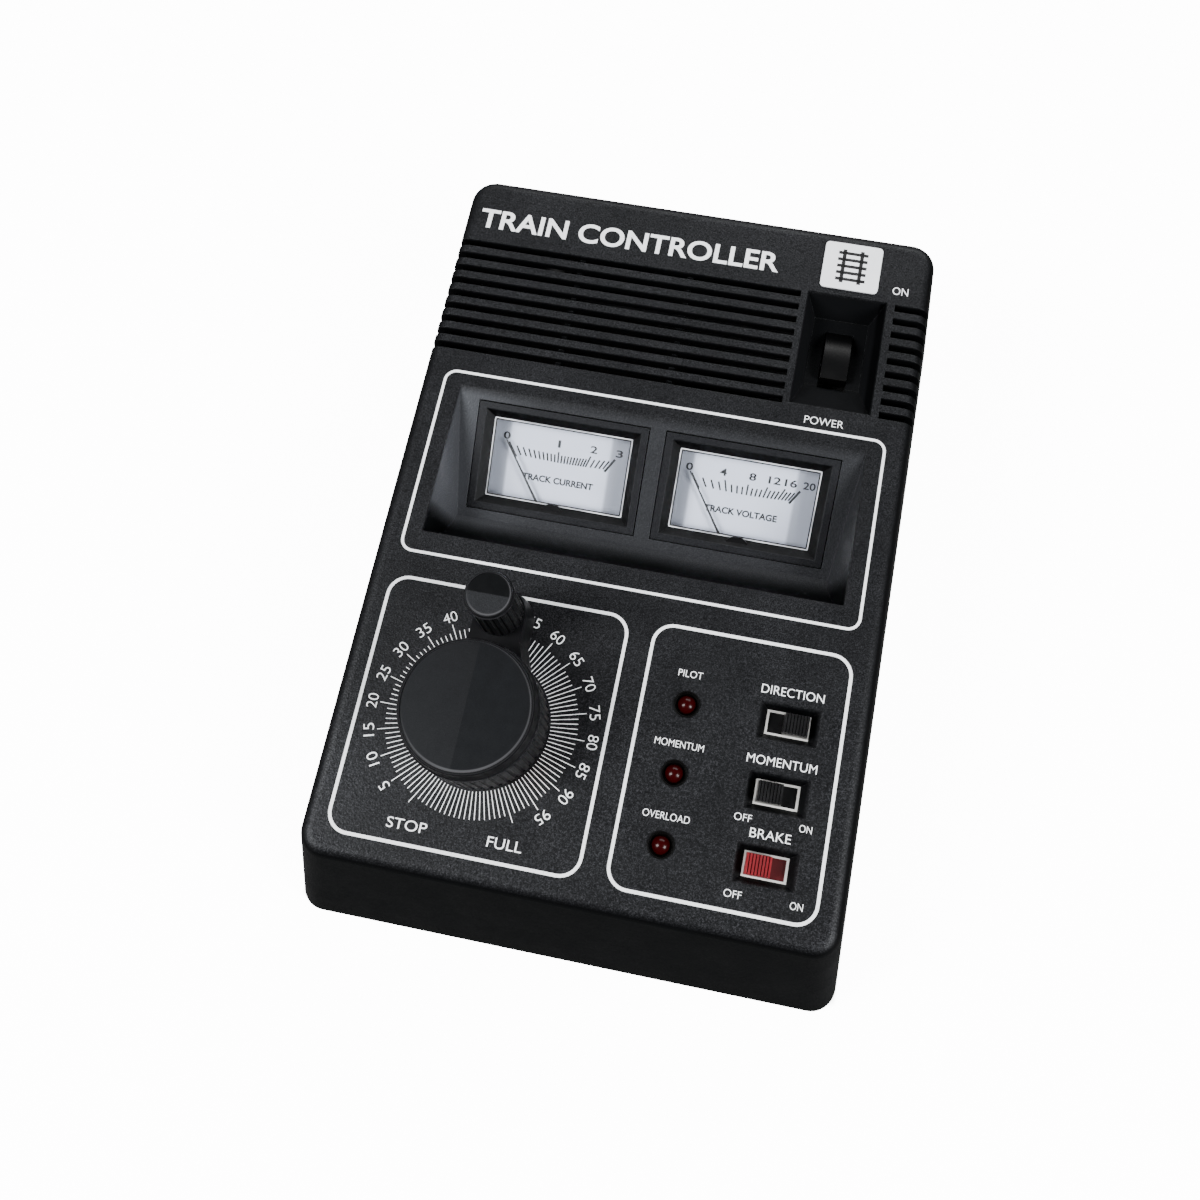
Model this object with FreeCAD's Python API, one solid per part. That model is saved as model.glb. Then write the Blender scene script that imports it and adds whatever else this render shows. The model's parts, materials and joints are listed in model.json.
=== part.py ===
import FreeCAD, Part
import math
import os

# Mains-powered train set controller, in millimetres.
# Part frame: +X to the user's right, +Y towards the back, +Z up. The origin is on the surface that
# the feet stand on, in the middle of the case's outline.
# Panel frame: the flat sloping top. x is X, y ("v" below) runs up the slope from the throttle's
# axis, z is the height above the top face. Meter frame: a meter's own sloping face, likewise.

Vector = FreeCAD.Vector
Placement = FreeCAD.Placement
Rotation = FreeCAD.Rotation
EAST = Vector(1, 0, 0)

# ---------------------------------------------------------------- driving dimensions
FOOT_HEIGHT = 3.0
FRONT_HEIGHT = 33.0          # case rim to the top's front edge
TOP_TILT = 6.0               # slope of the top, degrees
TOP_HALF_WIDTH = 70.9
TOP_FRONT = -41.3            # the top's front and back edges, from the throttle's axis
TOP_BACK = 165.0
FRONT_LEAN = 20.0            # wall leans from the vertical, degrees
BACK_LEAN = 6.0
SIDE_DRAFT = 9.0             # from the top's own normal
WALL = 2.5
CORNER_RADIUS = 7.5
TOP_EDGE_RADIUS = 4.0
THIN_WALL = 1.8              # walls of the recesses
SLIP = 0.3                   # gap between a moving piece and what it passes
PLATE_THICKNESS = 2.0

THROTTLE_X = -30.4
SHAFT_RADIUS = 3.0
RUNNING_FIT = 0.05           # radial clearance of every shaft in its hole
KNOB_BOTTOM = 1.0
KNOB_SHOULDER = 19.2
KNOB_TOP = 24.3
KNOB_RADIUS = 18.0
KNOB_CROWN_RADIUS = 16.8
KNOB_FLUTES = 48
ARM_REACH = 27.8
ARM_TOP = 9.5
ARM_HALF_WIDTH = 6.8
ARM_DRAFT = 1.4
FINGER_RADIUS = 6.4
FINGER_TOP = 28.5
FINGER_FLUTES = 20
FINGER_PIN_RADIUS = 2.0

METER_PITCH = 55.4           # between the two meters' centres
METER_V = 77.7
METER_OPENING = (50.8, 32.0)
METER_GAP = 0.3
METER_LEAN = 27.0            # the meters' face from the top face
RECESS_HALF_WIDTH = 59.4
RECESS_BACK = 94.85
RECESS_FRONT = 49.2
RECESS_FLOOR = 61.0
RECESS_SIDE_DRAFT = 13.0
RIM_WIDTH = 2.0
WINDOW_SIZE = (41.4, 23.4)
PIVOT_DROP = 20.0            # the needle's pivot, below the meter's centre
NEEDLE_LENGTH = 30.5
NEEDLE_REST = 34.0           # to the left of upright, degrees

POCKET_X = (35.3, 58.9)      # recess of the power switch
POCKET_V = (106.4, 143.1)
POCKET_DEPTH = 10.0
POCKET_RAMP = 11.6           # length of the ramp at its front
POCKET_BACK_RUN = 2.8
POCKET_DRAFT = 0.36
ROCKER_SIZE = (7.8, 17.4)
ROCKER_V = 126.6
ROCKER_ARC = 16.0
ROCKER_TILT = 8.0

LAMP_X = 22.4
LAMP_RADIUS = 2.5
LAMP_V = {"pilot": 14.7, "momentum": -3.8, "overload": -22.4}
SWITCH_X = 49.7
SWITCH_V = {"direction": 14.55, "momentum": -4.05, "brake": -22.65}
SWITCH_TRAVEL = 4.0
SWITCH_SIDE = {"direction": 1, "momentum": -1, "brake": -1}
BOARD_DEPTH = 8.3

VENT_COUNT = 9
VENT_PITCH = 4.34
VENT_WIDTH = 2.2
VENT_FIRST = 106.9
VENT_DROP = 14.0             # how far the slots run down the sides
VENT_LEFT_END = 33.4
VENT_RIGHT_END = 61.1

# ---------------------------------------------------------------- worked-out places
TILT = math.radians(TOP_TILT)
UP = Vector(0, -math.sin(TILT), math.cos(TILT))
UPHILL = Vector(0, math.cos(TILT), math.sin(TILT))
PANEL_Z = FOOT_HEIGHT + FRONT_HEIGHT - TOP_FRONT * math.sin(TILT)
BACK_HEIGHT = PANEL_Z + TOP_BACK * math.sin(TILT) - FOOT_HEIGHT
FRONT_RUN = FRONT_HEIGHT * math.tan(math.radians(FRONT_LEAN))
BACK_RUN = BACK_HEIGHT * math.tan(math.radians(BACK_LEAN))
PANEL_Y = -((TOP_FRONT + TOP_BACK) * math.cos(TILT) - FRONT_RUN + BACK_RUN) / 2
PANEL = Placement(Vector(0, PANEL_Y, PANEL_Z), Rotation(EAST, TOP_TILT))

METER_SLOPE = math.tan(math.radians(METER_LEAN))
METER_DEPTH = (RECESS_BACK - METER_V) * METER_SLOPE

REAR_Z = 24.0
REAR_DROP = FOOT_HEIGHT + BACK_HEIGHT - REAR_Z
REAR_Y = PANEL_Y + TOP_BACK * math.cos(TILT) + REAR_DROP * math.tan(math.radians(BACK_LEAN))
REAR = Placement(Vector(0, REAR_Y, REAR_Z), Rotation(EAST, BACK_LEAN - 90))


def meter_frame(side):
    """Placement of one meter's face: side is -1 for the left one and 1 for the right one."""
    face = Placement(Vector(side * METER_PITCH / 2, METER_V, -METER_DEPTH), Rotation(EAST, METER_LEAN))
    return PANEL.multiply(face)


# ---------------------------------------------------------------- helpers
def placed(shape, placement):
    """A copy of a shape, moved by a placement."""
    moved = shape.copy()
    moved.Placement = placement.multiply(moved.Placement)
    return moved


def box(x, y, z):
    """A box from three (low, high) pairs."""
    size = [high - low for low, high in (x, y, z)]
    return Part.makeBox(*size, Vector(x[0], y[0], z[0]))


def cylinder(radius, z, x=0.0, y=0.0):
    """An upright cylinder between two heights."""
    return Part.makeCylinder(radius, z[1] - z[0], Vector(x, y, z[0]))


def cone(low_radius, high_radius, z):
    """An upright cone between two heights."""
    return Part.makeCone(low_radius, high_radius, z[1] - z[0], Vector(0, 0, z[0]))


def across(radius, x, y, z):
    """A cylinder along X between two places."""
    return Part.makeCylinder(radius, x[1] - x[0], Vector(x[0], y, z), EAST)


def hexahedron(low, high):
    """A six-sided solid from two rings of four corners, each anticlockwise from above."""
    rings = [low[::-1], high]
    for here in range(4):
        there = (here + 1) % 4
        rings.append([low[here], low[there], high[there], high[here]])
    shell = Part.Shell([Part.Face(Part.makePolygon([*ring, ring[0]])) for ring in rings])
    shell.sewShape()
    return Part.Solid(shell)


def rectangle(x, y, z):
    """Four corners at one height."""
    return [Vector(x[0], y[0], z), Vector(x[1], y[0], z), Vector(x[1], y[1], z), Vector(x[0], y[1], z)]


def slot_box(x, y, half, z):
    """A box round a point, from its half sizes."""
    return box((x - half[0], x + half[0]), (y - half[1], y + half[1]), z)


def frustum(half_low, half_high, z, x=0.0, y=0.0):
    """A rectangular block with sloping sides, from half sizes at two heights."""
    low = rectangle((x - half_low[0], x + half_low[0]), (y - half_low[1], y + half_low[1]), z[0])
    high = rectangle((x - half_high[0], x + half_high[0]), (y - half_high[1], y + half_high[1]), z[1])
    return hexahedron(low, high)


def slab(edges, x):
    """A profile in the y-z plane, given as joined edges, extruded along X."""
    face = Part.Face(Part.Wire(edges))
    low, high = x
    face.translate(Vector(low, 0, 0))
    return face.extrude(Vector(high - low, 0, 0))


def line(start, end):
    """An edge between two (y, z) points."""
    return Part.makeLine(Vector(0, *start), Vector(0, *end))


def arc(start, middle, end):
    """An arc through three (y, z) points."""
    return Part.Arc(Vector(0, *start), Vector(0, *middle), Vector(0, *end)).toShape()


def turned(profile):
    """A solid of revolution about z, from (radius, height) points."""
    points = [Vector(radius, 0, height) for radius, height in profile]
    face = Part.Face(Part.makePolygon([*points, points[0]]))
    return face.revolve(Vector(), Vector(0, 0, 1), 360)


def rounded_plate(size, radius, z):
    """A plate with rounded corners, centred on the origin."""
    plate = box((-size[0] / 2, size[0] / 2), (-size[1] / 2, size[1] / 2), z)
    upright = [edge for edge in plate.Edges if abs(edge.tangentAt(0).z) > 0.9]
    return plate.makeFillet(radius, upright)


def softened(shape, radius, picks):
    """The shape with the edges that picks chooses rounded."""
    return shape.makeFillet(radius, [edge for edge in shape.Edges if picks(edge)])


def ring_of(count, shape):
    """Copies of a shape, evenly turned about z."""
    copies = []
    for step in range(count):
        copies.append(placed(shape, Placement(Vector(), Rotation(Vector(0, 0, 1), 360 * step / count))))
    return Part.makeCompound(copies)


def save(name, shape, placement=None):
    """Writes one node."""
    if placement:
        shape = placed(shape, placement)
    shape.exportStep("parts/" + name + ".step")


# ---------------------------------------------------------------- case
FAR = 200.0                  # well past the case, for cutting tools
ABOVE = 5.0                  # well clear of a face that is cut through


def corner(planes):
    """The point where three planes meet."""
    (n1, d1), (n2, d2), (n3, d3) = planes
    sum_of_parts = n2.cross(n3) * d1 + n3.cross(n1) * d2 + n1.cross(n2) * d3
    return sum_of_parts / n1.dot(n2.cross(n3))


def leaning(normal, point, inset):
    """A plane through a point, moved inwards."""
    return normal, normal.dot(point) - inset


def case_block(inset, bottom):
    """The case's outer form, or the same form inset by a wall."""
    lean = math.radians(FRONT_LEAN)
    back = math.radians(BACK_LEAN)
    draft = math.radians(SIDE_DRAFT)
    front_edge = PANEL.multVec(Vector(0, TOP_FRONT, 0))
    back_edge = PANEL.multVec(Vector(0, TOP_BACK, 0))
    ends = [leaning(Vector(0, -math.cos(lean), math.sin(lean)), front_edge, inset),
            leaning(Vector(0, math.cos(back), math.sin(back)), back_edge, inset)]
    sides = []
    for hand in (-1, 1):
        normal = EAST * (hand * math.cos(draft)) + UP * math.sin(draft)
        edge = PANEL.multVec(Vector(hand * TOP_HALF_WIDTH, 0, 0))
        sides.append(leaning(normal, edge, inset))
    levels = [(Vector(0, 0, 1), bottom), leaning(UP, front_edge, inset)]
    order = [(0, 0), (1, 0), (1, 1), (0, 1)]
    rings = [[corner((sides[s], ends[e], level)) for s, e in order] for level in levels]
    return hexahedron(*rings)


def is_upright(edge):
    """True for the case's four corner edges, which lean a little."""
    return abs(edge.tangentAt(edge.FirstParameter).z) > 0.6


def is_on_top(edge):
    """True for the edges round the top face."""
    return all(abs(PANEL.inverse().multVec(vertex.Point).z) < 0.01 for vertex in edge.Vertexes)


def case_shell():
    """The empty case: rounded outside, open at the bottom."""
    outside = softened(case_block(0, FOOT_HEIGHT), CORNER_RADIUS, is_upright)
    outside = softened(outside, TOP_EDGE_RADIUS, is_on_top)
    inside = softened(case_block(WALL, 0), CORNER_RADIUS - WALL, is_upright)
    return outside.cut(inside)


SCOOP_RUN = 4.2              # how far down the slope the scoop's middle lies
SCOOP_SHARE = 0.67           # its depth there, as a share of the floor's


def recess_form(grow):
    """The meters' recess in the panel frame: a wedge with a scooped front and drafted sides."""
    across_wall = grow / math.cos(math.radians(METER_LEAN))
    top = 1.0 if grow == 0 else 0.0
    floor_depth = (RECESS_BACK - RECESS_FLOOR) * METER_SLOPE
    back = (RECESS_BACK + (top + across_wall) / METER_SLOPE, top)
    floor = (RECESS_FLOOR, -floor_depth - across_wall)
    middle = (RECESS_FRONT + SCOOP_RUN - grow * 0.8, -floor_depth * SCOOP_SHARE - grow * 0.6)
    lip = (RECESS_FRONT - grow, 0.0)
    edges = [line(back, floor), arc(floor, middle, lip)]
    if top:
        edges.append(line(lip, (lip[0], top)))
    edges.append(line((lip[0], top), back))
    draft = math.tan(math.radians(RECESS_SIDE_DRAFT))
    low = -floor_depth - 3 - grow
    half_low = RECESS_HALF_WIDTH + grow + low * draft
    half_high = RECESS_HALF_WIDTH + grow + top * draft
    sides = frustum((half_low, FAR), (half_high, FAR), (low, top))
    return slab(edges, (-FAR, FAR)).common(sides)


def pocket_form(grow):
    """The power switch's recess in the panel frame: a ramp at the front, drafted walls."""
    top = 1.0 if grow == 0 else 0.0
    floor = -POCKET_DEPTH - grow
    front, back = POCKET_V
    points = [(front - grow, top), (front - grow, -1.0), (front + POCKET_RAMP - grow, floor),
              (back - POCKET_BACK_RUN + grow, floor), (back + grow, 0.0), (back + grow, top)]
    edges = [line(a, b) for a, b in zip(points, points[1:] + points[:1]) if a != b]
    half = (POCKET_X[1] - POCKET_X[0]) / 2 + grow
    low = floor - 1
    half_low = half + low * POCKET_DRAFT
    half_high = half + top * POCKET_DRAFT
    sides = frustum((half_low, FAR), (half_high, FAR), (low, top), sum(POCKET_X) / 2)
    return slab(edges, (0, FAR)).common(sides)


def vent_cutters():
    """Slots through the top and down both sides, in the panel frame."""
    cutters = []
    shoulder = TOP_HALF_WIDTH - 5.0
    overlap = 0.1
    for row in range(VENT_COUNT):
        middle = VENT_FIRST + row * VENT_PITCH
        v = (middle - VENT_WIDTH / 2, middle + VENT_WIDTH / 2)
        through_top = (-WALL - overlap, ABOVE)
        down_side = (-VENT_DROP, ABOVE)
        cutters.append(box((-shoulder - overlap, VENT_LEFT_END), v, through_top))
        cutters.append(box((VENT_RIGHT_END, shoulder + overlap), v, through_top))
        cutters.append(box((-FAR, -shoulder), v, down_side))
        cutters.append(box((shoulder, FAR), v, down_side))
    return Part.makeCompound(cutters)


RIB_LEFTS = (-34.0, -0.8)    # left faces of the two ribs
RIB_WIDTH = 1.6
RIB_DEPTH = 6.0


def vent_ribs():
    """Two ribs that carry the bars between the slots, in the panel frame."""
    length = (VENT_FIRST - VENT_PITCH, VENT_FIRST + VENT_COUNT * VENT_PITCH)
    ribs = [box((x, x + RIB_WIDTH), length, (-RIB_DEPTH, -WALL + 0.2)) for x in RIB_LEFTS]
    return Part.makeCompound(ribs)


SCREW_X = 61.0
SCREW_Y = (-99.0, 92.0)
SCREW_RADIUS = 1.4
SCREW_REACH = 11.0           # length of its shank above the plate's underside
POST_RADIUS = 3.6
POST_BORE = 1.5
POST_BOTTOM = FOOT_HEIGHT + PLATE_THICKNESS


def screw_places():
    """Where the four case screws stand, in the part frame."""
    return [(x, y) for x in (-SCREW_X, SCREW_X) for y in SCREW_Y]


def posts():
    """Screw posts that hang from the top."""
    room = case_block(WALL - 0.3, POST_BOTTOM)
    return [cylinder(POST_RADIUS, (POST_BOTTOM, FAR), x, y).common(room) for x, y in screw_places()]


TERMINAL_X = 14.0
TERMINAL_SIZE = (52.0, 10.8)
GLAND_X = -48.0
GLAND_BORE = 3.5
GLAND_BODY = 5.4
REAR_GAP = 0.1               # all round the pieces let into the back wall


def rear_cutters():
    """The terminal block's window and the cord gland's hole, in the rear frame."""
    depth = (-WALL - ABOVE, ABOVE)
    half = (TERMINAL_SIZE[0] / 2 + REAR_GAP, TERMINAL_SIZE[1] / 2 + REAR_GAP)
    window = slot_box(TERMINAL_X, 0, half, depth)
    return Part.makeCompound([window, cylinder(GLAND_BODY + REAR_GAP, depth, GLAND_X)])


SWITCH_POCKET_LOW = (5.6, 3.1)      # half sizes of the pocket round a slide switch
SWITCH_POCKET_TOP = (8.5, 5.25)
LAMP_HOLE = 3.05
BUSH_RADIUS = 3.5
BUSH_HOLE = 3.7


def switch_pocket(v):
    """The drafted window round one slide switch."""
    return frustum(SWITCH_POCKET_LOW, SWITCH_POCKET_TOP, (-WALL - 0.3, 0.3), SWITCH_X, v)


def panel_cutters():
    """Everything cut through the flat of the top, in the panel frame."""
    through = (-ABOVE, ABOVE)
    cutters = [switch_pocket(v) for v in SWITCH_V.values()]
    cutters += [cylinder(LAMP_HOLE, through, LAMP_X, v) for v in LAMP_V.values()]
    cutters.append(cylinder(BUSH_HOLE, through, THROTTLE_X))
    half = (ROCKER_SIZE[0] / 2 + SLIP, ROCKER_SIZE[1] / 2 + 0.8)
    cutters.append(slot_box(sum(POCKET_X) / 2, ROCKER_V, half, (-POCKET_DEPTH - 4, -POCKET_DEPTH + 1)))
    return Part.makeCompound(cutters)


def make_top_housing():
    """The wedge-shaped case with its two recesses, slots, windows and screw posts."""
    shape = case_shell().fuse(posts())
    grown = [recess_form(THIN_WALL), pocket_form(THIN_WALL), vent_ribs()]
    shape = shape.fuse([placed(form, PANEL) for form in grown])
    for hollow in (recess_form(0), pocket_form(0), vent_cutters(), panel_cutters()):
        shape = shape.cut(placed(hollow, PANEL))
    half = (METER_OPENING[0] / 2, METER_OPENING[1] / 2)
    window = slot_box(0, 0, half, (-4, 3))
    for side in (-1, 1):
        shape = shape.cut(placed(window, meter_frame(side)))
    shape = shape.cut(placed(rear_cutters(), REAR))
    for x, y in screw_places():
        shape = shape.cut(cylinder(POST_BORE, (0, FOOT_HEIGHT + SCREW_REACH + 5), x, y))
    save("top_housing", shape)


PLATE_GAP = 0.3              # between the bottom plate and the case
PLATE_HOLE = 1.8
HEAD_RADIUS = 3.1
HEAD_HEIGHT = 1.5
GRILLE_COUNT = 8
GRILLE_PITCH = 6.0
GRILLE_WIDTH = 2.4
GRILLE_X = (6.0, 36.0)
GRILLE_START = 32.0


def make_base_plate():
    """The bottom plate, let into the case's rim, with cooling slots and countersunk screw holes."""
    room = case_block(WALL + PLATE_GAP, 0)
    room = softened(room, CORNER_RADIUS - WALL, is_upright)
    plate = room.common(box((-FAR, FAR), (-FAR, FAR), (FOOT_HEIGHT, POST_BOTTOM - RUNNING_FIT)))
    cutters = []
    for x, y in screw_places():
        cutters.append(cylinder(PLATE_HOLE, (0, FAR), x, y))
        cutters.append(Part.makeCone(HEAD_RADIUS + 0.2, SCREW_RADIUS + 0.3, HEAD_HEIGHT + 0.1,
                                     Vector(x, y, FOOT_HEIGHT)))
    for row in range(GRILLE_COUNT):
        y = GRILLE_START + row * GRILLE_PITCH
        cutters.append(box(GRILLE_X, (y, y + GRILLE_WIDTH), (0, FAR)))
    save("base_plate", plate.cut(Part.makeCompound(cutters)))


FOOT_X = 48.0
FOOT_Y = {"front": -72.0, "back": 76.0}
FOOT_RADIUS = 6.8


def make_feet():
    """Four rubber feet, stuck under the plate and narrower where they stand."""
    profile = [(0, 0), (FOOT_RADIUS - 1.2, 0), (FOOT_RADIUS - 0.6, 0.6), (FOOT_RADIUS, FOOT_HEIGHT),
               (0, FOOT_HEIGHT)]
    for depth, y in FOOT_Y.items():
        for side, x in (("left", -FOOT_X), ("right", FOOT_X)):
            save(depth + "_" + side + "_foot", turned(profile), Placement(Vector(x, y, 0), Rotation()))


def make_case_screws():
    """Four countersunk cross-head screws, up through the plate into the posts."""
    arm = (1.9, 0.35)
    slot_top = FOOT_HEIGHT + 0.9
    screws = []
    for x, y in screw_places():
        head = Part.makeCone(HEAD_RADIUS, SCREW_RADIUS, HEAD_HEIGHT, Vector(x, y, FOOT_HEIGHT + 0.1))
        shank = cylinder(SCREW_RADIUS, (FOOT_HEIGHT + 1, FOOT_HEIGHT + SCREW_REACH + 3), x, y)
        slots = [slot_box(x, y, half, (0, slot_top)) for half in (arm, arm[::-1])]
        screws.append(head.fuse(shank).cut(slots))
    save("case_screws", Part.makeCompound(screws))


# ---------------------------------------------------------------- throttle
THROTTLE = PANEL.multiply(Placement(Vector(THROTTLE_X, 0, 0), Rotation()))
SHAFT_TOP = 17.0
CAP_SEAT = 0.8
CAP_RIM = 0.45               # wall of the knob round its disc
CAP_SLOPE = 1.5              # degrees
CAP_GAP = 0.05
FLUTE_RADIUS = 0.6
SKIRT_INSIDE = 15.2
HUB_RADIUS = 6.0
HUB_TOP = 16.0
NUT_ROOM = (8.6, 6.6)        # radius and height
ARM_ROOT_V = (14.2, 21.0)    # where the arm widens into the skirt
ARM_FLARE = 2.5              # how much wider it gets each side


def trapezium(half_near, half_far, near, far, height):
    """Corners of a level four-sided outline, wider at its near end."""
    return [Vector(-half_near, near, height), Vector(half_near, near, height),
            Vector(half_far, far, height), Vector(-half_far, far, height)]


def knob_arm():
    """The crank arm from the knob's skirt to the finger knob, with drafted sides."""
    half = ARM_HALF_WIDTH
    foot = half + ARM_DRAFT
    end = cone(foot, half, (KNOB_BOTTOM, ARM_TOP))
    end.translate(Vector(0, ARM_REACH, 0))
    low = rectangle((-foot, foot), (0, ARM_REACH), KNOB_BOTTOM)
    high = rectangle((-half, half), (0, ARM_REACH), ARM_TOP)
    root, tip = ARM_ROOT_V
    root_low = trapezium(foot + ARM_FLARE, foot, root, tip, KNOB_BOTTOM)
    root_high = trapezium(half + ARM_FLARE, half, root, tip, ARM_TOP)
    return hexahedron(low, high).fuse([end, hexahedron(root_low, root_high)])


def knob_crown():
    """The smooth crown: a shoulder, a sloping side and a rim round the disc's seat."""
    seat = KNOB_TOP - CAP_SEAT
    return turned([(0, KNOB_SHOULDER), (KNOB_RADIUS - 0.1, KNOB_SHOULDER),
                   (KNOB_RADIUS - 0.4, KNOB_SHOULDER + 0.5),
                   (KNOB_CROWN_RADIUS + 0.3, KNOB_TOP - 0.5), (KNOB_CROWN_RADIUS, KNOB_TOP),
                   (KNOB_CROWN_RADIUS - CAP_RIM, KNOB_TOP), (KNOB_CROWN_RADIUS - CAP_RIM, seat),
                   (0, seat)])


def make_throttle_knob():
    """Fluted skirt, smooth crown, hub on the shaft and the crank arm, in one moulding."""
    skirt = cylinder(KNOB_RADIUS, (KNOB_BOTTOM, KNOB_SHOULDER))
    flute = cylinder(FLUTE_RADIUS, (0, KNOB_SHOULDER + 1), KNOB_RADIUS + 0.15)
    skirt = skirt.cut(ring_of(KNOB_FLUTES, flute))
    knob = skirt.fuse([knob_crown(), knob_arm()])
    hollow = cylinder(SKIRT_INSIDE, (0, HUB_TOP)).cut(cylinder(HUB_RADIUS, (0, HUB_TOP)))
    nut_room = cylinder(NUT_ROOM[0], (0, NUT_ROOM[1]))
    bore = cylinder(SHAFT_RADIUS, (0, SHAFT_TOP))
    pin_hole = cylinder(FINGER_PIN_RADIUS, (ARM_TOP - PIN_ROOT, ARM_TOP + 1), 0, ARM_REACH)
    save("throttle_knob", knob.cut([hollow, nut_room, bore, pin_hole]), THROTTLE)


def ridged_disc(radius, seat, crest):
    """A disc whose top is two half faces that fall away very slightly from a ridge along X."""
    reach = radius + 1
    eaves = crest - reach * math.tan(math.radians(CAP_SLOPE))
    corners = [(-reach, seat), (reach, seat), (reach, eaves), (0, crest), (-reach, eaves)]
    roof = slab([line(a, b) for a, b in zip(corners, corners[1:] + corners[:1])], (-reach, reach))
    return cylinder(radius, (seat, crest)).common(roof)


def make_throttle_cap():
    """The disc let into the knob's top, its ridge in line with the crank arm."""
    disc = ridged_disc(KNOB_CROWN_RADIUS - CAP_RIM - CAP_GAP, KNOB_TOP - CAP_SEAT, KNOB_TOP + 0.1)
    save("throttle_cap", disc, THROTTLE.multiply(Placement(Vector(), Rotation(Vector(0, 0, 1), 90))))


SHAFT_BOTTOM = -12.0
POT_RADIUS = 12.0
POT_BOTTOM = -15.0
BUSH_TOP = 5.2
LUG_X = (-5.0, 0.0, 5.0)
WASHER_RADIUS = 7.0
WASHER_TOP = 0.8
NUT_RADIUS = 6.2             # across its corners
NUT_TOP = 3.2


def make_throttle_shaft():
    """The potentiometer's shaft, which the knob is pressed onto."""
    save("throttle_shaft", cylinder(SHAFT_RADIUS, (SHAFT_BOTTOM, SHAFT_TOP)), THROTTLE)


def make_potentiometer():
    """Body with its threaded bush, washer and nut."""
    body = cylinder(POT_RADIUS, (POT_BOTTOM, -WALL)).fuse(cylinder(BUSH_RADIUS, (-WALL - 1, BUSH_TOP)))
    lugs = [box((x - 1, x + 1), (-POT_RADIUS - 5, -POT_RADIUS + 2), (-12, -11.2)) for x in LUG_X]
    bore = cylinder(SHAFT_RADIUS + RUNNING_FIT, (SHAFT_BOTTOM - SLIP, BUSH_TOP + 1))
    save("potentiometer", body.fuse(lugs).cut(bore), THROTTLE)
    hole = cylinder(BUSH_RADIUS + RUNNING_FIT, (-1, BUSH_TOP))
    washer = cylinder(WASHER_RADIUS, (0, WASHER_TOP)).cut(hole)
    save("potentiometer_washer", washer, THROTTLE)
    sides = [math.radians(60 * n) for n in range(7)]
    outline = [Vector(NUT_RADIUS * math.cos(a), NUT_RADIUS * math.sin(a), WASHER_TOP) for a in sides]
    nut = Part.Face(Part.makePolygon(outline)).extrude(Vector(0, 0, NUT_TOP - WASHER_TOP)).cut(hole)
    save("potentiometer_nut", nut, THROTTLE)


FINGER = THROTTLE.multiply(Placement(Vector(0, ARM_REACH, 0), Rotation()))
PIN_ROOT = 6.0               # how deep the pin is pressed into the arm
PIN_HEAD = 22.5
PIN_HEAD_RADIUS = 3.2
FINGER_SEAT = 2.0            # depth of the seat for the finger knob's disc
FINGER_RIM = 0.75


def make_finger_pin():
    """The shouldered pin that the finger knob spins on."""
    shank = cylinder(FINGER_PIN_RADIUS, (ARM_TOP - PIN_ROOT, PIN_HEAD))
    head = cylinder(PIN_HEAD_RADIUS, (PIN_HEAD, PIN_HEAD + 1.6))
    save("finger_pin", shank.fuse(head), FINGER)


def make_finger_knob():
    """The fluted finger knob, counterbored for the pin's head."""
    shoulder = FINGER_TOP - 1.2
    body = cylinder(FINGER_RADIUS, (ARM_TOP + SLIP, FINGER_TOP - 1.0))
    flute = cylinder(FLUTE_RADIUS - 0.05, (0, shoulder), FINGER_RADIUS + 0.1)
    body = body.cut(ring_of(FINGER_FLUTES, flute))
    rim = turned([(0, shoulder), (FINGER_RADIUS - 0.15, shoulder), (FINGER_RADIUS - 0.55, FINGER_TOP),
                  (0, FINGER_TOP)])
    bore = cylinder(FINGER_PIN_RADIUS + RUNNING_FIT, (0, FINGER_TOP))
    counterbore = cylinder(PIN_HEAD_RADIUS + 0.4, (PIN_HEAD - SLIP, FINGER_TOP - FINGER_SEAT))
    seat = cylinder(FINGER_RADIUS - FINGER_RIM, (FINGER_TOP - FINGER_SEAT, FINGER_TOP + 1))
    save("finger_knob", body.fuse(rim).cut([bore, counterbore, seat]), FINGER)


def make_finger_cap():
    """The disc that closes the finger knob's top."""
    disc = ridged_disc(FINGER_RADIUS - FINGER_RIM - CAP_GAP, FINGER_TOP - FINGER_SEAT, FINGER_TOP)
    save("finger_cap", disc, FINGER)


# ---------------------------------------------------------------- meters
WINDOW_DEPTH = 2.2
WINDOW_THICKNESS = 1.0
WINDOW_BACK = WINDOW_DEPTH + WINDOW_THICKNESS
HUB_COVER_RADIUS = 4.0       # the low black bump over the needle's hub
HUB_COVER_DROP = 3.35        # its centre, below the window's lower edge
SCALE_DEPTH = 7.0
SCALE_THICKNESS = 0.6
NEEDLE_DEPTH = 5.2
NEEDLE_THICKNESS = 0.3
NEEDLE_ROOT = 0.45           # half widths of the needle
NEEDLE_TIP = 0.16
CASE_BACK = 17.0
CASE_HALF_WIDTH = 23.4
CASE_WALL = 1.4
CASE_TOP = 13.6
CASE_LOW = PIVOT_DROP + 5.0
PIVOT_RADIUS = 0.5


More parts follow.
